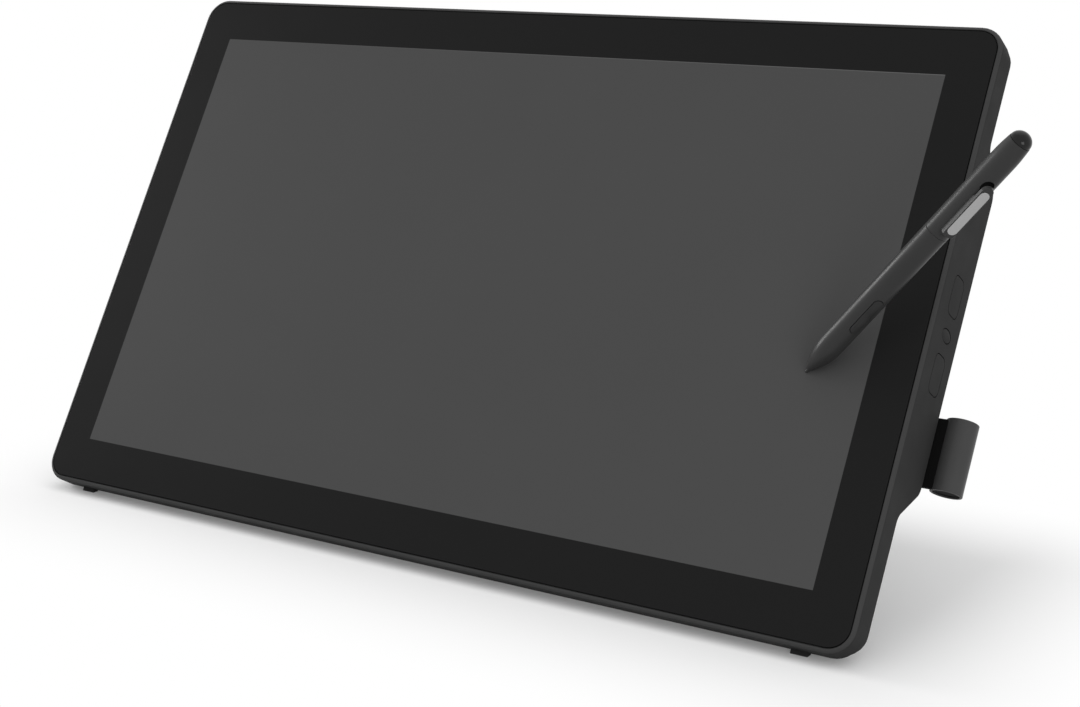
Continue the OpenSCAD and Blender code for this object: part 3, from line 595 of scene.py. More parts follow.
class CasingSettings(bpy.types.PropertyGroup):
    """The rim and the rear shell."""

    corner_radius: size("Corner radius", "Outer corners of the casing", 15*MM)
    rim_round: size("Rim round", "Round on the rim's outer edge", 2.5*MM)
    band_above: size("Band above", "Reach of the thick band above the middle", 95*MM)
    band_below: size("Band below", "Reach of the thick band below the middle", 79*MM)
    slope_run: size("Slope", "Height of the slope from the edge to the band", 19*MM)
    slope_radius: size("Slope radius", "Bends at both ends of the slope", 8*MM)
    bevel_start: size("Bevel start", "Depth where the upper and lower walls start to lean inwards", 13.5*MM)
    bevel: size("Bevel", "How far the upper and lower walls lean inwards", 3.5*MM)
    rear_radius: size("Rear radius", "Round on the rear edges", 2.6*MM)
    wall: size("Wall", "Wall of the rear shell", 2.5*MM)
    gap: size("Gap", "Gap round a port", 0.3*MM)
    key_gap: size("Key gap", "Gap round a side key", 0.5*MM)
    colour: colour("Colour", "Grained plastic of the casing", (0.037, 0.037, 0.037))
    # The rim's front faces are painted lighter than the casing plastic: painted light on the faces turned to the
    # front.
    rim_colour: colour("Rim colour", "Plastic of the rim's front", (0.055, 0.055, 0.055))
    key_colour: colour("Key colour", "Plastic of the side keys", (0.038, 0.038, 0.038))
    roughness: share("Roughness", "Roughness of the casing", 0.78)
    specular: share("Reflection", "Strength of the casing's reflection", 0.1)
    rim_roughness: share("Rim roughness", "Roughness of the rim", 0.6)
    rim_specular: share("Rim reflection", "Strength of the rim's reflection", 0.12)


class PenSettings(bpy.types.PropertyGroup):
    """The pen and its holder."""

    nose: size("Nose", "Length of the pointed nose", 24.5*MM)
    nose_start: size("Nose start", "Where the barrel's mouth is, from the tip", 2.6*MM)
    seam: size("Seam", "Joint between the two barrels, from the tip", 110.5*MM)
    groove: size("Groove", "Round on both sides of the seam", 0.35*MM)
    taper: size("Taper", "Length over which the tail narrows", 12*MM)
    colour: colour("Colour", "Soft plastic of the barrels", (0.043, 0.043, 0.043))
    switch_colour: colour("Switch", "Plastic of the switch and the nib", (0.034, 0.034, 0.034))
    plate_colour: colour("Plate", "Metal of the bare plate on the clip", (0.36, 0.36, 0.36))
    # Lighter than the casing and pen plastic: painted light on the tube.
    holder_colour_painted_light: colour("Holder", "Plastic of the holder's tube", (0.072, 0.072, 0.072))
    roughness: share("Roughness", "Roughness of the pen and the holder", 0.34)
    specular: share("Reflection", "Strength of the pen's reflection", 0.14)
    holder_specular: share("Holder reflection", "Strength of the holder's reflection", 0.1)


class StandSettings(bpy.types.PropertyGroup):
    """The fold-out stand."""

    base: size("Base plate", "Thickness of a bracket's base plate", 4*MM)
    ear: size("Ear", "Thickness of a bracket's ear", 5*MM)
    ear_gap: size("Ear gap", "Room between the two ears of a bracket", 14*MM)
    pin: size("Pin", "Radius of a hinge pin", 4*MM)
    arm: size("Arm", "Width of a leg arm", 14*MM)
    pocket: size("Pocket", "Depth of the pockets in the leg arms", 1.5*MM)
    lever: size("Lever", "Length of the release lever", 62*MM)
    lever_width: size("Lever width", "Width of the release lever", 11*MM)
    lever_rest: bpy.props.FloatProperty(name="Lever rest", description="Angle of the lever to the back at rest",
                                        default=math.radians(16), subtype="ANGLE")


class StageSettings(bpy.types.PropertyGroup):
    """Floor, light and camera."""

    lens: bpy.props.FloatProperty(name="Lens", description="Focal length on a 36 mm sensor", default=63.21,
                                  unit="CAMERA")
    camera_place: place_of("Camera", "Where the camera stands, in the glass's frame",
                           (652.18*MM, -289.48*MM, 912.4*MM))
    camera_aim: place_of("Aim", "What the camera looks at, in the glass's frame", (59.9*MM, -44.1*MM, 0))
    floor_colour: colour("Floor", "Pale floor near the object", (0.93, 0.93, 0.93))
    # A darker copy of the floor for bounce light, which shades the object's underside more than the floor's look
    # gives.
    darkened_floor_bounce: colour("Floor bounce", "Floor as it throws light back", (0.4, 0.4, 0.4))
    # White is painted over the floor's shadow, growing to all of it at this distance from the casing.
    floor_fade: size("Fade", "Distance from the casing at which the floor is white", 0.12)
    bright_side: place_of("Bright side", "Where the soft light is strongest", (-0.85, 0.05, 0.5))
    bright_light: bpy.props.FloatProperty(name="Bright light", description="Soft light from the bright side",
                                          default=0.84, min=0)
    dim_light: bpy.props.FloatProperty(name="Dim light", description="Soft light from the other side",
                                       default=0.66, min=0)


class PenDisplaySettings(bpy.types.PropertyGroup):
    """All settings of the pen display's looks."""

    glass: bpy.props.PointerProperty(type=GlassSettings)
    casing: bpy.props.PointerProperty(type=CasingSettings)
    pen: bpy.props.PointerProperty(type=PenSettings)
    stand: bpy.props.PointerProperty(type=StandSettings)
    stage: bpy.props.PointerProperty(type=StageSettings)


# Glass and casing

def casing_ring(half, corner, inset, rows=()):
    """Points round the casing at an inset from its side, with a point on both sides at each row of y."""
    x, y, radius = half.x - corner, half.y - corner, corner - inset
    right = arc((x, -y), radius, -90, 0) + [(half.x - inset, row) for row in rows] + arc((x, y), radius, 0, 90)
    return right + [(-px, py) for px, py in reversed(right)]


def half_size(node):
    """Half the width and height of a display node."""
    low, high = node_box(node, DISPLAY)
    return Vector(((high.x - low.x)/2, (high.y - low.y)/2))


def quarter_round(radius, steps=ARC_STEPS):
    """Pairs of inset and drop along a round edge, from its side to its top."""
    turns = [math.pi/2*i/steps for i in range(steps + 1)]
    return [(radius*(1 - math.cos(a)), radius*(1 - math.sin(a))) for a in turns]


def build_glass():
    """The sheet of glass, with its printed border, the panel that shows through it and a painted highlight along
    the panel's top edge.
    """
    looks, casing = bpy.context.scene.pen_display.glass, bpy.context.scene.pen_display.casing
    half = half_size("cover_glass")
    corner = casing.corner_radius - (half_size("front_frame").x - half.x)
    low = node_box("cover_glass", DISPLAY)[0]
    edge = [(inset, -drop) for inset, drop in quarter_round(looks.edge_round, 4)]
    bm = capped_loft(stacked(lambda inset: casing_ring(half, corner, inset), [(0, low.z)] + edge))

    def front_faces():
        return [face for face in bm.faces if face.normal.z > 0.99]

    lit = Vector((half.x - looks.border_side, half.y - looks.border_top))
    for axis, reach in (((1, 0, 0), lit.x), ((0, 1, 0), lit.y)):
        for side in (-1, 1):
            front = front_faces()
            geom = front + list({e for f in front for e in f.edges}) + list({v for f in front for v in f.verts})
            bmesh.ops.bisect_plane(bm, geom=geom, plane_co=Vector(axis)*side*reach, plane_no=axis)
    screen = [face for face in front_faces()
              if abs(face.calc_center_median().x) < lit.x and abs(face.calc_center_median().y) < lit.y]
    strips = bmesh.ops.inset_region(bm, faces=screen, thickness=looks.line, use_boundary=True)["faces"]
    for face in screen + strips:
        face.material_index = 1
    # The top strip carries a painted highlight along the panel's edge.
    max(strips, key=lambda face: face.calc_center_median().y).material_index = 2
    add_piece(bm, "screen_glass", DISPLAY, "display", ["glass", "lit_area", "painted_panel_highlight"], ["cover_glass"])


def build_rim():
    """The rim round the glass, with its round outer edge and the ledge that carries the glass, its front-facing
    faces painted lighter as painted light.
    """
    casing = bpy.context.scene.pen_display.casing
    half, glass = half_size("front_frame"), half_size("cover_glass")
    low = node_box("front_frame", DISPLAY)[0]
    ledge = node_box("cover_glass", DISPLAY)[0].z
    seam = node_box("rear_cover", DISPLAY)[1].z
    lip = half.x - glass.x - bpy.context.scene.pen_display.glass.edge_round*1.5
    inner = casing.wall + casing.gap
    shoulder = lip + 2*casing.wall
    top = [(inset, -drop) for inset, drop in quarter_round(casing.rim_round)]
    tip, front_facing = 0.25*MM, 0.4
    profile = ([(0, seam)] + top + [(lip - tip, 0), (lip, -tip), (lip, ledge), (shoulder, ledge),
                                    (shoulder, low.z), (inner, low.z), (inner, seam)])
    bm = bmesh.new()
    loft(bm, stacked(lambda inset: casing_ring(half, casing.corner_radius, inset), profile), closed=True)
    # Faces turned to the front get the lighter rim colour as painted light; the rest are casing plastic.
    for face in closed_up(bm).faces:
        face.material_index = 0 if face.normal.z > front_facing else 1
    add_piece(bm, "rim", DISPLAY, "display", ["rim", "casing"], ["front_frame"])


def back_rows(casing, half, edge, band):
    """Pairs of y and depth down the back, from the lower edge to the upper one."""
    low, high = casing.band_below, casing.band_above
    corners = [(-half.y, edge, 0), (-low - casing.slope_run, edge, casing.slope_radius),
               (-low, band, casing.slope_radius), (high, band, casing.slope_radius),
               (high + casing.slope_run, edge, casing.slope_radius), (half.y, edge, 0)]
    return rounded_path(corners, closed=False)[1:-1]


def back_skin(casing, half, seam, edge, band):
    """The outer skin of the rear shell, open at the front."""
    rows = back_rows(casing, half, edge, band)
    ends = [edge]*(ARC_STEPS + 1)
    depths = ends + [depth for y, depth in rows] + ends
    depths += depths[::-1]

    def shell_ring(inset, drop):
        points = casing_ring(half, casing.corner_radius, inset, [y for y, depth in rows])
        lean = casing.bevel*(edge - drop - casing.bevel_start)/(edge - casing.bevel_start)
        corner = half.y - casing.corner_radius
        pull = lean/(casing.corner_radius - inset)
        return [(x, y - math.copysign(pull*max(abs(y) - corner, 0), y), drop - depth)
                for (x, y), depth in zip(points, depths)]

    outline = casing_ring(half, casing.corner_radius, 0, [y for y, depth in rows])
    walls = stacked(lambda inset: outline, ((0, seam), (0, -casing.bevel_start)))
    bm = bmesh.new()
    loops = loft(bm, walls + [shell_ring(inset, drop) for inset, drop in quarter_round(casing.rear_radius)])
    count = len(depths)//2
    last = loops[-1]
    bmesh.ops.bridge_loops(bm, edges=last[:count - 1] + last[count:-1])
    return closed_up(bm)


def round_spots(node, place):
    """The middle of each separate solid of a node, measured in the frame place."""
    bm = bmesh.new()
    bm.from_mesh(NODES[node].data)
    bmesh.ops.remove_doubles(bm, verts=bm.verts, dist=10*SAME)
    back = place.inverted()
    spots, seen = [], set()
    for start in bm.verts:
        if start in seen:
            continue
        island, front = [], [start]
        seen.add(start)
        while front:
            vert = front.pop()
            island.append(back @ vert.co)
            for edge in vert.link_edges:
                other = edge.other_vert(vert)
                if other not in seen:
                    seen.add(other)
                    front.append(other)
        spots.append(sum((Vector([pick(axis) for axis in zip(*island)]) for pick in (min, max)), Vector())/2)
    bm.free()
    return spots


def flat_cut(outline, casing, depth):
    """A tool that goes through the back wall at that depth."""
    return prism(outline, -depth - casing.wall, -depth + 2*casing.wall)


KEY_FLANGE = 1.2*MM
KEY_CORNER = 4.5*MM
KEY_EDGE = 0.4*MM
PAD_RADIUS = 8*MM
SCREW = {"head": 2.9*MM, "height": 1.4*MM, "seat": 3*MM}
STAND_SCREW = {"head": 4*MM, "height": 2.2*MM, "seat": 4.3*MM, "seat_depth": 2.4*MM, "hole": 2.3*MM,
               "thread": 2.1*MM}
VENTS = {"count": 8, "width": 3*MM, "height": 14*MM, "pitch": 8*MM, "start": 135*MM, "below": 21*MM}


def key_outline(node, inset):
    """Outline of a side key's face at an inset from its edge: an oval for a short key."""
    low, high = node_box(node, DISPLAY)
    length, width = (high.y - low.y - 2*KEY_FLANGE), (high.z - low.z - 2*KEY_FLANGE)
    if length < width:
        return [((length/2 - inset)*x, (width/2 - inset)*y) for x, y in disc(1)]
    return rectangle(length - 2*inset, width - 2*inset, KEY_CORNER - inset)


def side_place(node, x=0):
    """Frame at a node's middle on the right side: x up the glass, y out of it, z to the right."""
    low, high = node_box(node, DISPLAY)
    return Matrix.Translation((x, (low.y + high.y)/2, (low.z + high.z)/2)) @ SIDEWAYS


def side_cut(node, casing):
    """A tool that goes through the right wall round a key."""
    outer = half_size("front_frame").x
    hole = prism(key_outline(node, -casing.key_gap), outer - 2*casing.wall, outer + casing.wall)
    return moved(hole, side_place(node))


def back_tools(casing, edge, band):
    """All holes and seats of the rear shell."""
    tools = []
    for spot in round_spots("cover_screws", DISPLAY):
        tools.append(prism(disc(SCREW["seat"], spot.xy, FEW_STEPS), -edge - MM, -edge + SCREW["height"]))
    hole = (MOUNTS["vesa_holes"]["dims"]["hole_r_mm"] + 1)*MM
    reach = MOUNTS["vesa_holes"]["dims"]["pcd_mm"]*MM/2*math.sqrt(0.5)
    middle = DISPLAY.inverted() @ Vector(MOUNTS["vesa_holes"]["pos_m"])
    for sx, sy in SIGNS:
        tools.append(flat_cut(disc(hole, (sx*reach, middle.y + sy*reach), FEW_STEPS), casing, band))
    for spot in round_spots("rear_pads", DISPLAY):
        tools.append(prism(disc(PAD_RADIUS, spot.xy), -band - MM, -band + MM))
    for spot in round_spots("bracket_screws", DISPLAY):
        tools.append(flat_cut(disc(STAND_SCREW["thread"], spot.xy, 24), casing, band))
    for side in (-1, 1):
        for i in range(VENTS["count"]):
            x = side*(VENTS["start"] + i*VENTS["pitch"])
            slot = [(px + x, py + casing.band_above - VENTS["below"])
                    for py, px in pill(VENTS["height"], VENTS["width"])]
            tools.append(flat_cut(slot[::-1], casing, band))
    for node in ("video_port", "usb_port"):
        low, high = node_box(node, DISPLAY)
        width, height = high.x - low.x + 2*casing.gap, high.y - low.y + 2*casing.gap
        tools.append(flat_cut(rectangle(width, height, 0.6*MM, ((low + high)/2).xy), casing, band))
    low, high = node_box("dc_inlet", DISPLAY)
    tools.append(flat_cut(disc((high.x - low.x)/2 + casing.gap, ((low + high)/2).xy), casing, band))
    for node in ("upper_button", "power_button", "lower_button"):
        tools.append(side_cut(node, casing))
    low, high = node_box("lock_plate", DISPLAY)
    frame_width = 4*MM
    slot = rectangle(high.y - low.y - 2*frame_width, high.z - low.z - 2*frame_width, 0.5*MM)
    tools.append(moved(prism(slot, low.x - 2*casing.wall, low.x + MM), side_place("lock_plate")))
    return joined(tools)


def build_shell():
    """The rear shell, with its thick band, vents, ports, mounting holes and key holes."""
    casing = bpy.context.scene.pen_display.casing
    low, high = node_box("rear_cover", DISPLAY)
    edge = -node_box("cover_screws", DISPLAY)[0].z
    skin = back_skin(casing, half_size("rear_cover"), high.z, edge, -low.z)
    bm = modified(skin, "SOLIDIFY", thickness=casing.wall, offset=-1, use_even_offset=True)
    bm = combined(bm, back_tools(casing, edge, -low.z))
    add_piece(bm, "rear_shell", DISPLAY, "display", ["casing"], ["rear_cover"])


def cross_head(radius, height):
    """A screw head with a cross recess, from z = 0 up."""
    slot, reach, floor = radius*0.28, radius*1.3, height*0.45
    head = lathe([(0, 0), (radius, 0), (radius, height*0.75), (radius*0.86, height), (0, height)], FEW_STEPS)
    arms = [prism(rectangle(*sides), floor, height*2) for sides in ((slot, reach), (reach, slot))]
    return combined(head, combined(*arms, "UNION"))


def build_screws(name, node, kind):
    """All screws of a node: a cross head and a shank each, with their heads at the back."""
    low, high = node_box(node, DISPLAY)
    radius, height = kind["head"], kind["height"]
    parts = []
    for spot in round_spots(node, DISPLAY):
        turn = Matrix.Translation((spot.x, spot.y, low.z + height)) @ Matrix.Rotation(math.pi, 4, "X")
        parts.append(moved(cross_head(radius, height), turn))
        parts.append(prism(disc(radius*0.5, spot.xy, 24), low.z + height, high.z))
    add_piece(joined(parts), name, DISPLAY, "display", ["steel"], [node])


class PENDISPLAY_OT_glass(bpy.types.Operator):
    """Builds the sheet of glass with its printed border."""

    bl_idname = "pendisplay.glass"
    bl_label = "Glass"

    def execute(self, context):
        build_glass()
        return {"FINISHED"}


class PENDISPLAY_OT_casing(bpy.types.Operator):
    """Builds the rim, the rear shell and its screws."""

    bl_idname = "pendisplay.casing"
    bl_label = "Casing"

    def execute(self, context):
        build_rim()
        build_shell()
        build_screws("casing_screws", "cover_screws", SCREW)
        return {"FINISHED"}


# Side keys, feet and pads

def build_key(node, name, body, crown=0.0):
    """A side key: a face in its hole, crowned if asked, and a flange behind the wall."""
    low, high = node_box(node, DISPLAY)
    top = high.x - low.x
    half = min(high.y - low.y, high.z - low.z)/2 - KEY_FLANGE
    flange_top, dome_steps, dome_reach = 1.5*MM, 4, 0.9
    rounds = [(inset, top - crown - drop) for inset, drop in quarter_round(KEY_EDGE, 4)]
    shares = [k/dome_steps for k in range(1, dome_steps + 1) if crown]
    domed = [(KEY_EDGE + (half - KEY_EDGE)*share*dome_reach, top - crown*(1 - share)**2) for share in shares]
    steps = [(-KEY_FLANGE, 0), (-KEY_FLANGE, flange_top), (0, flange_top)] + rounds + domed
    bm = capped_loft(stacked(lambda inset: key_outline(node, inset), steps))
    add_piece(bm, name, DISPLAY @ side_place(node, low.x), body, ["keys"], [node])


class PENDISPLAY_OT_keys(bpy.types.Operator):
    """Builds the two long keys and the small power key."""

    bl_idname = "pendisplay.keys"
    bl_label = "Side keys"

    def execute(self, context):
        build_key("upper_button", "upper_long_key", "upper_key")
        build_key("power_button", "small_power_key", "power_key", crown=0.6*MM)
        build_key("lower_button", "lower_long_key", "lower_key")
        return {"FINISHED"}


def build_feet():
    """The two front feet: rubber blocks with soft edges, cut level where they meet the desk."""
    low, high = node_box("front_feet", DISPLAY)
    down = DISPLAY @ axes_at((0, 0, 0), (1, 0, 0), (0, -1, 0))
    outermost = max(spot.x for spot in round_spots("front_feet", DISPLAY))
    width, length = 2*(high.x - outermost), high.z - low.z
    corner, edge = 0.8*MM, 0.4*MM
    parts = []
    for side in (-1, 1):
        outline = rectangle(width, length, corner, (side*(high.x - width/2), (low.z + high.z)/2))
        parts.append(moved(prism(outline, -high.y, -low.y + width), down))
    bm = joined(parts)
    made = bmesh.ops.bisect_plane(bm, geom=bm.verts[:] + bm.edges[:] + bm.faces[:], plane_co=(0, 0, 0),
                                  plane_no=(0, 0, -1), clear_outer=True)
    bmesh.ops.holes_fill(bm, edges=[cut for cut in made["geom_cut"] if isinstance(cut, bmesh.types.BMEdge)])
    softened(bm, edge, 2)
    add_piece(bm, "front_rubber_feet", Matrix(), "display", ["rubber"], ["front_feet"])


def build_pads():
    """The four rear pads: discs with a soft edge and a shallow dish."""
    low, high = node_box("rear_pads", DISPLAY)
    radius, height, dish = PAD_RADIUS - FIT, high.z - low.z, 0.3*MM
    corners = [(0, 0, 0), (radius, 0, 0), (radius, height, 0.7*MM), (PAD_RADIUS*0.72, height, 0.5*MM),
               (PAD_RADIUS*0.68, height - dish, 0.3*MM), (0, height - dish, 0)]
    parts = []
    for spot in round_spots("rear_pads", DISPLAY):
        place = Matrix.Translation((spot.x, spot.y, high.z)) @ Matrix.Rotation(math.pi, 4, "X")
        parts.append(moved(turned_solid(corners), place))
    add_piece(joined(parts), "rear_rubber_pads", DISPLAY, "display", ["rubber"], ["rear_pads"])


class PENDISPLAY_OT_feet(bpy.types.Operator):
    """Builds the front feet and the rear pads."""

    bl_idname = "pendisplay.feet"
    bl_label = "Feet and pads"

    def execute(self, context):
        build_feet()
        build_pads()
        return {"FINISHED"}


# Pen holder

def build_holder():
    """The holder: a tube with a socket, on a flat arm that is screwed to the back, the arm painted black as shade
    between the wall and the tube.
    """
    socket = MOUNTS["pen_socket"]["dims"]["r_mm"]*MM
    depth = MOUNTS["pen_socket"]["dims"]["length_mm"]*MM
    low, high = node_box("pen_holder", HOLDER)
    radius = high.x
    lip, foot, rim = 0.5*MM, 3*MM, 1.5*MM
    corners = [(0, -depth/2, 0), (socket, -depth/2, 0), (socket, high.z, lip), (radius, high.z, lip),
               (radius, low.z, lip*0.6), (radius - rim, low.z, lip*0.4), (radius - rim, low.z + foot, 0),
               (0, low.z + foot, 0)]
    to_display = DISPLAY.inverted() @ HOLDER
    tube = moved(turned_solid(corners, 2*ROUND_STEPS), to_display)
    back = node_box("rear_cover", DISPLAY)[0].z
    box_low, box_high = node_box("pen_holder", DISPLAY)
    thickness, lower, shorter, edge = 4*MM, 0.5*MM, 1.5*MM, 0.8*MM
    length = box_high.y - box_low.y
    middle = (DISPLAY.inverted() @ Vector(MOUNTS["pen_socket"]["pos_m"])).x
    arm_low = box_low.y + lower
    outline = rectangle(middle - box_low.x, length - shorter, 0,
                        ((box_low.x + middle)/2, arm_low + (length - shorter)/2))
    arm = softened(prism(outline, back - thickness, back), edge)
    wall_middle = prism(disc((socket + radius)/2), low.z - MM, high.z + MM)
    bm = combined(combined(arm, moved(wall_middle, to_display)), tube, "UNION")
    to_holder = to_display.inverted()
    # The arm, outside the tube, gets the black cap finish: painted shade between the wall and the tube.
    for face in bm.faces:
        if (to_holder @ face.calc_center_median()).xy.length > radius:
            face.material_index = 1
    add_piece(bm, "holder_tube", DISPLAY, "display", ["holder", "cap"], ["pen_holder"])
    low, high = node_box("holder_cap", HOLDER)
    dish = low.z + 0.25*MM
    cap = turned_solid([(0, high.z, 0), (high.x, high.z, 0), (high.x, low.z, 0.4*MM), (high.x*0.8, low.z, 0),
                        (high.x*0.78, dish, 0), (0, dish, 0)])
    # The end cap is dark plastic, darkened further as painted shade in the tube's recess.
    add_piece(cap, "holder_end_cap", HOLDER, "display", ["cap"], ["holder_cap"])
    build_screws("holder_arm_screws", "holder_screws", SCREW)


class PENDISPLAY_OT_holder(bpy.types.Operator):
    """Builds the pen holder."""

    bl_idname = "pendisplay.holder"
    bl_label = "Pen holder"

    def execute(self, context):
        build_holder()
        return {"FINISHED"}


# Pen

NOSE_POWER = 0.85


def build_grip(pen, radius):
    """The front half of the pen, from its nose to the seam, with a seat for the switch."""
    steps = 3*ARC_STEPS
    mouth, mouth_edge, gap, seat_edge = 0.95*MM, 0.1*MM, 0.3*MM, 0.15*MM
    heights = [pen.nose_start + (pen.nose - pen.nose_start)*i/steps for i in range(steps + 1)]
    nose = [(radius*math.sin(math.pi/2*z/pen.nose)**NOSE_POWER, z) for z in heights]
    nose[0] = (nose[0][0] - mouth_edge, nose[0][1])
    end = rounded_path([(radius, pen.nose, 0), (radius, pen.seam, pen.groove), (0, pen.seam, 0)], closed=False)
    inside = pen.nose_start + 6*MM
    bm = lathe([(0, inside), (mouth, inside), (mouth, pen.nose_start)] + nose + end[1:], 2*ROUND_STEPS)
    low, high = node_box("pen_switch", PEN)
    outline = pill(high.z - low.z + 2*gap, high.y - low.y + 2*gap)
    seat = moved(prism(outline, low.x - 0.9*MM, radius*2), switch_place())
    bm = combined(bm, seat)
    softened(bm, seat_edge, 2, lambda edge: all(
        v.co.x > radius*0.7 and low.z - MM < v.co.z < high.z + MM for v in edge.verts))
    add_piece(bm, "pen_front_barrel", PEN, "pen", ["pen_body"], ["pen_grip"])


def switch_place():
    """Frame of the switch: x along the pen, z out of it."""
    low, high = node_box("pen_switch", PEN)
    return axes_at((0, 0, (low.z + high.z)/2), (0, 0, 1), (1, 0, 0))


def build_switch(radius):
    """The pen's rocker switch: a pill whose top follows the barrel and dips in the middle."""
    low, high = node_box("pen_switch", PEN)
    length, middle = high.z - low.z, (low.z + high.z)/2
    dip, dip_reach, steps = 0.35*MM, 4*MM, 24
    bm = moved(prism(pill(length, high.y - low.y), low.x, radius*2), switch_place())
    heights = [low.z - MM + (length + 2*MM)*i/steps for i in range(steps + 1)]
    tops = [(high.x - dip*math.exp(-((z - middle)/dip_reach)**2), z) for z in heights]
    body = lathe([(0, heights[0])] + tops + [(0, heights[-1])])
    bm = combined(bm, body, "INTERSECT")
    softened(bm, 0.3*MM, 3, lambda edge: all(v.co.x > radius*0.8 for v in edge.verts))
    add_piece(bm, "pen_rocker_switch", PEN, "side_switch", ["pen_black"], ["pen_switch"])


def build_nib():
    """The nib: a thin rod with a round, slightly worn tip."""
    high = node_box("pen_nib", PEN)[1]
    tip = [(high.x - inset, drop) for inset, drop in reversed(quarter_round(high.x))]
    bm = lathe(tip + [(high.x, high.z), (0, high.z)], FEW_STEPS)
    add_piece(bm, "pen_tip", PEN, "nib", ["pen_black"], ["pen_nib"])


def build_barrel(pen, radius):
    """The rear half of the pen, narrowing to its tail, with a scoop under the clip's free end that is painted
    black as shade.
    """
    high = node_box("pen_barrel", PEN)[1]
    tail = node_box("pen_tail", PEN)[1].x + 0.1*MM
    steps = 2*ARC_STEPS
    heights = [high.z - pen.taper + pen.taper*i/steps for i in range(steps + 1)]
    taper = [(tail + (radius - tail)*math.cos(math.pi/2*i/steps), z) for i, z in enumerate(heights)]
    start = rounded_path([(0, pen.seam, 0), (radius, pen.seam, pen.groove), (radius, heights[0], 0)],
                         closed=False)
    end = rounded_path([taper[-2] + (0,), (tail, high.z, 0.15*MM), (0, high.z, 0)], closed=False)
    bm = lathe(start[:-1] + taper[:-1] + end[1:], 2*ROUND_STEPS)
    plate_end = node_box("pen_plate", PEN)[1].z
    scoop, centre = 5*MM, Vector((radius + 2.8*MM, 0, plate_end + 0.4*MM))
    ball = bmesh.new()
    bmesh.ops.create_uvsphere(ball, u_segments=48, v_segments=24, radius=scoop)
    bm = combined(bm, moved(ball, Matrix.Translation(centre)))
    # The scoop's faces get the black cap finish: painted shade in the recess.
    for face in bm.faces:
        if (face.calc_center_median() - centre).length < scoop:
            face.material_index = 1
    add_piece(bm, "pen_rear_barrel", PEN, "pen", ["pen_body", "cap"], ["pen_barrel"])


def build_clip(radius):
    """The clip: a bar with sloping sides that grows out of the barrel and ends free, and its bare plate."""
    top = node_box("pen_barrel", PEN)[1].x
    low, high = node_box("pen_plate", PEN)
    length, width, middle = high.z - low.z, high.y - low.y, (low.z + high.z)/2
    start, end, root_length, root_inset = 115*MM, 150*MM, 27*MM, 0.35*MM
    half, lift, slope, corner, edge = 3.5*MM, 1.2*MM, 0.3*MM, 1.6*MM, 0.1*MM

    def bar(inset, height, near):
        tight = half - inset - 0.01*MM
        corners = [(near + inset, -half + inset, corner), (end - inset, -half + inset, tight),
                   (end - inset, half - inset, tight), (near + inset, half - inset, corner)]
        return [(z, y, height) for z, y in rounded_path(corners)]

    base, under = radius + lift, 0.4*MM
    steps = [(under, base, start), (0, base + under, start), (slope, top - edge, start - edge),
             (slope + edge, top, start - edge)]
    place = axes_at((0, 0, 0), (0, 0, 1), (1, 0, 0))
    bm = moved(capped_loft([bar(*step) for step in steps]), place)
    root = rectangle(root_length - MM, 2*(half - root_inset), 0.8*MM, (start + root_length/2, 0))
    bm = combined(bm, moved(prism(root, radius - 2*MM, base + MM), place), "UNION")
    lip, plate_edge = 0.2*MM, 0.2*MM

    def plate(inset):
        return pill(length - 2*inset, width - 2*inset, (middle, 0))

    bm = combined(bm, moved(prism(plate(lip), low.x, top + MM), place))
    add_piece(bm, "pen_clip", PEN, "pen", ["pen_body"])
    side = lip + FIT
    rounds = [(side + inset, high.x - drop) for inset, drop in quarter_round(plate_edge, 3)]
    bm = moved(capped_loft(stacked(plate, [(side, low.x)] + rounds)), place)
    add_piece(bm, "pen_clip_plate", PEN, "pen", ["plate"], ["pen_plate"])


def build_tail():
    """The polished dome at the pen's end, with a thin groove at its seat."""
    low, high = node_box("pen_tail", PEN)
    room, groove, steps = 0.1*MM, 0.3*MM, 24
    radius, height = high.x - room, high.z - low.z - room
    turns = [math.pi/2*i/steps for i in range(steps + 1)]
    dome = [(radius*math.cos(a), low.z + groove + (height - groove)*math.sin(a)) for a in turns]
    neck = [(0, low.z), (radius - groove, low.z), (radius - groove, low.z + groove)]
    add_piece(lathe(neck + dome), "pen_tail_dome", PEN, "pen", ["tail"], ["pen_tail"])


class PENDISPLAY_OT_pen(bpy.types.Operator):
    """Builds the pen: nib, barrels, switch, clip, plate and tail."""

    bl_idname = "pendisplay.pen"
    bl_label = "Pen"

    def execute(self, context):
        pen = context.scene.pen_display.pen
        radius = node_box("pen_grip", PEN)[1].y
        build_nib()
        build_grip(pen, radius)
        build_switch(radius)
        build_barrel(pen, radius)
        build_clip(radius)
        build_tail()
        return {"FINISHED"}


# Stand

def hinge_place():
    """Frame of the hinge: x up the glass, y out of it, z to the right."""
    return DISPLAY @ HINGE @ SIDEWAYS


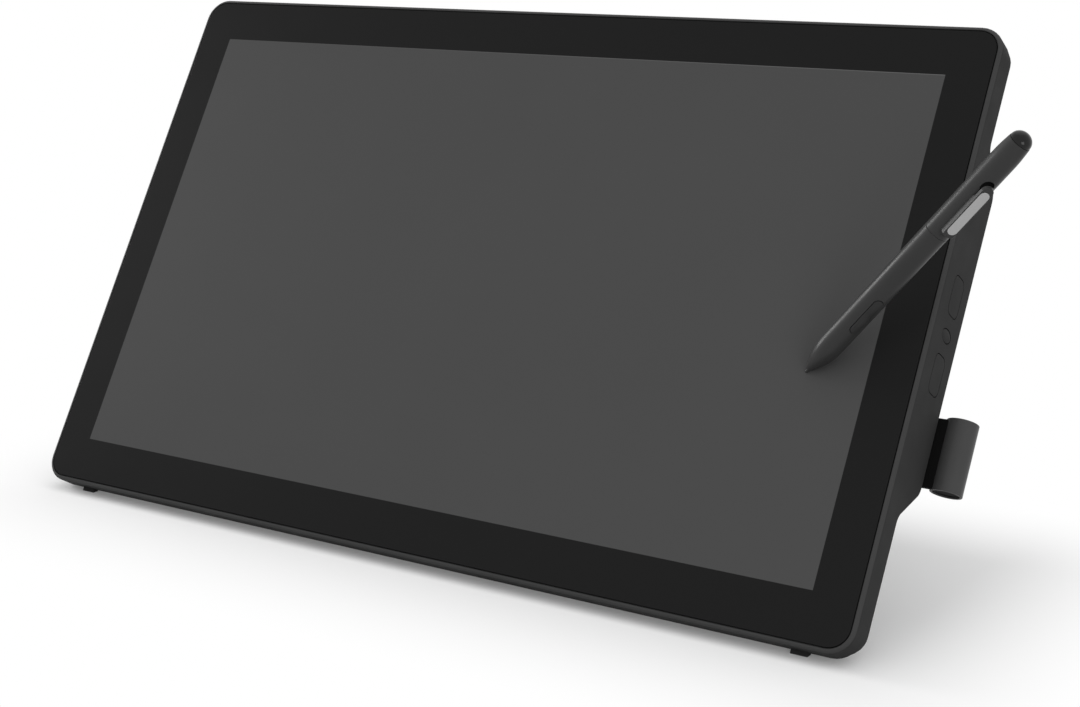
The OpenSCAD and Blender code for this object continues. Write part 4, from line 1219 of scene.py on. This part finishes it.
def build_bracket(side, node, name):
    """A hinge bracket: a screwed base plate with two ears for the pin."""
    stand = bpy.context.scene.pen_display.stand
    place = hinge_place()
    low, high = node_box(node, DISPLAY)
    top = node_box("rear_cover", DISPLAY)[0].z
    middle, plate = (low + high)/2, stand.base
    outline = rectangle(high.x - low.x, high.y - low.y, 5*MM, middle.xy)
    base = softened(prism(outline, top - plate, top), 0.7*MM)
    shell_y = (place.inverted() @ DISPLAY @ Vector((0, 0, top - plate/2))).y
    radius = -node_box(node, place)[0].y
    ear = arc((0, 0), radius, 180, 360, ROUND_STEPS//2) + [(radius, shell_y), (-radius, shell_y)]
    to_display = DISPLAY.inverted() @ place
    for way in (-1, 1):
        inner = middle.x + way*stand.ear_gap/2
        ends = sorted((inner, inner + way*stand.ear))
        cheek = softened(prism(ear, *ends), 0.6*MM, 2, lambda edge: max(v.co.y for v in edge.verts) < shell_y)
        base = combined(base, moved(cheek, to_display), "UNION")
    tools = [moved(prism(disc(stand.pin + FIT), low.x - MM, high.x + MM), to_display)]
    seat, hole, depth = STAND_SCREW["seat"], STAND_SCREW["hole"], STAND_SCREW["seat_depth"]
    for spot in round_spots("bracket_screws", DISPLAY):
        if spot.x*side > 0:
            tools.append(prism(disc(seat, spot.xy, FEW_STEPS), top - 2*plate, top - plate + depth))
            tools.append(prism(disc(hole, spot.xy, FEW_STEPS), top - plate, top + MM))
    add_piece(cut(base, tools), name, DISPLAY, "display", ["stand_metal"], [node])


def build_arm(node, name):
    """An arm of the leg: a bar with an eye at each end and a long pocket on both faces."""
    stand = bpy.context.scene.pen_display.stand
    place = LEG @ SIDEWAYS
    low, high = node_box(node, place)
    bar_low, bar_high = node_box("leg_bar", place)
    length, tube = (bar_low.x + bar_high.x)/2, (bar_high.x - bar_low.x)/2
    outline = link(length, -low.x, high.x - length, stand.arm/2)
    bm = softened(prism(outline, low.z, high.z), 1.2*MM)
    pocket = pill(length - 44*MM, stand.arm*0.5, (length/2, 0))
    tools = [prism(disc(stand.pin + FIT), low.z - MM, high.z + MM),
             prism(disc(tube + FIT, (length, 0)), low.z - MM, high.z + MM),
             prism(pocket, low.z - MM, low.z + stand.pocket), prism(pocket, high.z - stand.pocket, high.z + MM)]
    add_piece(cut(bm, tools), name, place, "stand_leg", ["stand_metal"], [node])


def build_bar():
    """The cross bar: a tube with plugs in its ends and ribbed rubber sleeves that stand on the desk."""
    place = LEG @ SIDEWAYS
    low, high = node_box("leg_bar", place)
    length, radius = (low.x + high.x)/2, (high.x - low.x)/2
    axis = place @ Matrix.Translation((length, 0, 0))
    wall, edge = 1.5*MM, 0.3*MM
    tube = [(radius - wall, low.z), (radius - edge, low.z), (radius, low.z + edge), (radius, high.z - edge),
            (radius - edge, high.z), (radius - wall, high.z)]
    add_piece(lathed_ring(tube), "leg_cross_bar", axis, "stand_leg", ["bar"], ["leg_bar"])
    cap, inside, bore = node_box("bar_plugs", place)[1].z - high.z, 8*MM, radius - wall - FIT
    corners = [(0, -inside, 0), (bore, -inside, 0), (bore, 0, 0), (radius, 0, 0), (radius, cap, 1.2*MM),
               (0, cap, 0)]
    plugs = [moved(turned_solid(corners), Matrix.Translation((0, 0, high.z))),
             moved(turned_solid(corners), Matrix.Translation((0, 0, low.z)) @ Matrix.Rotation(math.pi, 4, "X"))]
    add_piece(joined(plugs), "bar_end_plugs", axis, "stand_leg", ["black"], ["bar_plugs"])
    sleeve_low, sleeve_high = node_box("leg_sleeves", place)
    outer, inner, half, count = (sleeve_high.x - sleeve_low.x)/2, radius + FIT, 17*MM, 9
    pitch, valley, shoulder = 2*half/count, outer - 0.7*MM, outer - 0.15*MM
    rib = ((valley, 0.1), (shoulder, 0.22), (outer, 0.36), (outer, 0.64), (shoulder, 0.78), (valley, 0.9))
    ribs = [(height, -half + i*pitch + along*pitch) for i in range(count) for height, along in rib]
    profile = [(inner, -half), (valley, -half)] + ribs + [(valley, half), (inner, half)]
    sleeves = [moved(lathed_ring(profile), Matrix.Translation((0, 0, spot.z)))
               for spot in round_spots("leg_sleeves", place)]
    add_piece(joined(sleeves), "leg_grip_sleeves", axis, "stand_leg", ["rubber"], ["leg_sleeves"])


def build_pins():
    """The hinge pins with their heads, spring clips and bronze washers."""
    stand = bpy.context.scene.pen_display.stand
    place = hinge_place()
    head, thick, edge = 6*MM, 2*MM, 0.5*MM
    pins = ((-1, "hinge_pin_left", "left_hinge_pin"), (1, "hinge_pin_right", "right_hinge_pin"))
    for side, node, name in pins:
        low, high = node_box(node, place)
        start, end = (low.z, high.z) if side > 0 else (-high.z, -low.z)
        profile = [(0, start), (head - edge, start), (head, start + edge), (head, start + thick),
                   (stand.pin, start + thick), (stand.pin, end - edge), (stand.pin - edge, end), (0, end)]
        turn = Matrix.Rotation(0 if side > 0 else math.pi, 4, "X")
        add_piece(lathe(profile), name, place @ turn, "display", ["steel"], [node])
    low, high = node_box("pin_clips", place)
    clip = arc((0, 0), head, 25, 335, ROUND_STEPS) + arc((0, 0), stand.pin + FIT, 325, 35, ROUND_STEPS)
    clip_thick = 1.2*MM
    clips = [softened(prism(clip, bottom, bottom + clip_thick), 0.2*MM, 2)
             for bottom in (low.z, high.z - clip_thick)]
    add_piece(joined(clips), "pin_spring_clips", place, "display", ["steel"], ["pin_clips"])
    outer, inner, half, edge = 8*MM, stand.pin + FIT, 0.45*MM, 0.2*MM
    profile = [(inner, -half), (outer - edge, -half), (outer, -half + edge), (outer, half - edge),
               (outer - edge, half), (inner, half)]
    washers = [moved(lathed_ring(profile), Matrix.Translation((0, 0, spot.z)))
               for spot in round_spots("friction_washers", place)]
    add_piece(joined(washers), "hinge_washers", place, "display", ["bronze"], ["friction_washers"])


def build_lever():
    """The release lever: a flat bar on the right pin with a grooved end for the finger."""
    stand = bpy.context.scene.pen_display.stand
    place = hinge_place()
    low, high = node_box("release_lever", place)
    length, half = stand.lever - stand.lever_width/2, stand.lever_width/2
    bm = softened(prism(link(length, -low.x, half, half*0.999), low.z, high.z), 0.8*MM)
    groove, pitch, count = 0.9*MM, 2.6*MM, 6
    holes = [disc(stand.pin + FIT)]
    holes += [disc(groove, (length - MM - i*pitch, -half - 0.25*MM), 24) for i in range(count)]
    bm = cut(bm, [prism(hole, low.z - MM, high.z + MM) for hole in holes])
    turn = Matrix.Rotation(-stand.lever_rest, 4, "Z")
    add_piece(bm, "stand_release_lever", place @ turn, "lever", ["black"], ["release_lever"])


class PENDISPLAY_OT_stand(bpy.types.Operator):
    """Builds the stand: brackets, pins, arms, cross bar and lever."""

    bl_idname = "pendisplay.stand"
    bl_label = "Stand"

    def execute(self, context):
        build_bracket(-1, "hinge_bracket_left", "left_bracket")
        build_bracket(1, "hinge_bracket_right", "right_bracket")
        build_screws("stand_screws", "bracket_screws", STAND_SCREW)
        build_pins()
        build_arm("leg_arm_left", "left_leg_arm")
        build_arm("leg_arm_right", "right_leg_arm")
        build_bar()
        build_lever()
        return {"FINISHED"}


# Inner pieces

class PENDISPLAY_OT_inner(bpy.types.Operator):
    """Gives every piece that keeps its solid its finish."""

    bl_idname = "pendisplay.inner"
    bl_label = "Inner pieces"

    def execute(self, context):
        for name, node in NODES.items():
            if not node.hide_render:
                node.data.materials.clear()
                node.data.materials.append(finish(SLOTS[name]))
        return {"FINISHED"}


# Stage

def seen_white(tree):
    """1 for rays that see the background: camera, mirror and glass rays."""
    path = add_node(tree, "ShaderNodeLightPath").outputs
    seen = path["Is Camera Ray"]
    for kind in ("Is Glossy Ray", "Is Transmission Ray"):
        seen = add_node(tree, "ShaderNodeMath", {0: seen, 1: path[kind]}, operation="MAXIMUM").outputs[0]
    return seen


def build_world(stage):
    """White where it is seen, and elsewhere a soft light that is stronger on one side."""
    world = bpy.data.worlds.new("studio")
    bpy.context.scene.world = world
    world.use_nodes = True
    tree = world.node_tree
    tree.nodes.clear()
    where = add_node(tree, "ShaderNodeTexCoord").outputs["Generated"]
    along = add_node(tree, "ShaderNodeVectorMath", {0: where, 1: Vector(stage.bright_side).normalized()},
                     operation="DOT_PRODUCT").outputs["Value"]
    strength = add_node(tree, "ShaderNodeMapRange", {
        "Value": along, "From Min": -1, "From Max": 1, "To Min": stage.dim_light, "To Max": stage.bright_light})
    light = add_node(tree, "ShaderNodeBackground", {"Color": (1, 1, 1, 1), "Strength": strength.outputs[0]})
    white = add_node(tree, "ShaderNodeBackground", {"Color": (1, 1, 1, 1), "Strength": 1.0})
    mix = add_node(tree, "ShaderNodeMixShader", {0: seen_white(tree), 1: light.outputs[0], 2: white.outputs[0]})
    add_node(tree, "ShaderNodeOutputWorld", {0: mix.outputs[0]})


FLOOR_REACH = 12


def build_floor(stage):
    """A wide pale floor with white painted over its shadow, a little under the object and fully away from it; it
    throws back a darker colour than it shows, which shades the object's underside.
    """
    bm = bmesh.new()
    bmesh.ops.create_grid(bm, x_segments=2, y_segments=2, size=FLOOR_REACH)
    mesh = bpy.data.meshes.new("studio_floor")
    bm.to_mesh(mesh)
    bm.free()
    floor = bpy.data.objects.new("studio_floor", mesh)
    bpy.context.scene.collection.objects.link(floor)
    material, tree, shader = start_finish("pale_floor", stage.floor_colour, 0.9, 0.0)
    low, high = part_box("rear_cover")
    middle, half = (low + high)/2, (high - low)/2
    where = place_on(tree)
    outside = (("SUBTRACT", middle), ("ABSOLUTE", half), ("SUBTRACT", half), ("MAXIMUM", Vector()))
    for operation, value in outside:
        where = add_node(tree, "ShaderNodeVectorMath", {0: where, 1: value}, operation=operation).outputs[0]
    distance = add_node(tree, "ShaderNodeVectorMath", {0: where}, operation="LENGTH").outputs["Value"]
    # Painted light: white goes over the floor's shadow for camera, mirror and glass rays, a tenth under the casing
    # and all of it at the fade distance.
    reach = {"Value": distance, "From Min": -stage.floor_fade/4, "From Max": stage.floor_fade}
    fade = add_node(tree, "ShaderNodeMapRange", reach, interpolation_type="SMOOTHSTEP").outputs[0]
    share_white = add_node(tree, "ShaderNodeMath", {0: fade, 1: seen_white(tree)},
                           operation="MULTIPLY").outputs[0]
    white = add_node(tree, "ShaderNodeEmission", {"Color": (1, 1, 1, 1), "Strength": 1.0})
    mix = add_node(tree, "ShaderNodeMixShader", {0: share_white, 1: shader.outputs[0], 2: white.outputs[0]})
    # Bounce light comes from a darker copy of the floor: shade on the object's underside.
    bounce = add_node(tree, "ShaderNodeBsdfDiffuse", {"Color": (*stage.darkened_floor_bounce, 1)})
    diffuse_ray = add_node(tree, "ShaderNodeLightPath").outputs["Is Diffuse Ray"]
    mix = add_node(tree, "ShaderNodeMixShader", {0: diffuse_ray, 1: mix.outputs[0], 2: bounce.outputs[0]})
    tree.links.new(mix.outputs[0], tree.nodes["Material Output"].inputs["Surface"])
    mesh.materials.append(material)


LAMPS = {
    "left": {"place": (-1.8, -0.05, 0.62), "size": 0.7, "power": 16},
    "right": {"place": (1.05, -0.75, 0.2), "size": 0.5, "power": 2.4},
    "top": {"place": (0.1, 0.5, 2.2), "size": 1.8, "power": 3},
}


def build_lamps():
    """Soft boxes round the object."""
    for name, lamp in LAMPS.items():
        data = bpy.data.lights.new(name + "_soft_box", "AREA")
        data.size, data.energy = lamp["size"], lamp["power"]
        light = bpy.data.objects.new(name + "_soft_box", data)
        bpy.context.scene.collection.objects.link(light)
        light.location = lamp["place"]
        aim = DISPLAY.translation - light.location
        light.rotation_euler = aim.to_track_quat("-Z", "Y").to_euler()


def build_camera(stage):
    """The camera at the photograph's place."""
    camera = bpy.data.objects.new("photo_camera", bpy.data.cameras.new("photo_camera"))
    bpy.context.scene.collection.objects.link(camera)
    camera.data.lens = stage.lens
    camera.location = DISPLAY @ Vector(stage.camera_place)
    aim = DISPLAY @ Vector(stage.camera_aim) - camera.location
    camera.rotation_euler = aim.to_track_quat("-Z", "Y").to_euler()
    bpy.context.scene.camera = camera


class PENDISPLAY_OT_stage(bpy.types.Operator):
    """Builds the floor, the light and the camera."""

    bl_idname = "pendisplay.stage"
    bl_label = "Stage"

    def execute(self, context):
        stage = context.scene.pen_display.stage
        context.scene.view_settings.view_transform = "Standard"
        build_camera(stage)
        build_world(stage)
        build_floor(stage)
        build_lamps()
        return {"FINISHED"}


OPERATORS = (PENDISPLAY_OT_glass, PENDISPLAY_OT_casing, PENDISPLAY_OT_keys, PENDISPLAY_OT_feet,
             PENDISPLAY_OT_holder, PENDISPLAY_OT_pen, PENDISPLAY_OT_stand, PENDISPLAY_OT_inner,
             PENDISPLAY_OT_stage)


class PENDISPLAY_PT_looks(bpy.types.Panel):
    """Lists the pieces and the stage."""

    bl_label = "Pen Display"
    bl_space_type = "VIEW_3D"
    bl_region_type = "UI"
    bl_category = "Pen Display"

    def draw(self, context):
        for operator in OPERATORS:
            self.layout.operator(operator.bl_idname)


CLASSES = (GlassSettings, CasingSettings, PenSettings, StandSettings, StageSettings, PenDisplaySettings,
           *OPERATORS, PENDISPLAY_PT_looks)


def register():
    """Adds the classes and the scene's settings."""
    for cls in CLASSES:
        bpy.utils.register_class(cls)
    bpy.types.Scene.pen_display = bpy.props.PointerProperty(type=PenDisplaySettings)


def unregister():
    """Takes the scene's settings and the classes away."""
    del bpy.types.Scene.pen_display
    for cls in reversed(CLASSES):
        bpy.utils.unregister_class(cls)


def main():
    """Builds every piece and the stage."""
    register()
    for operator in OPERATORS:
        group, name = operator.bl_idname.split(".")
        getattr(getattr(bpy.ops, group), name)()


if __name__ == "__main__":
    main()
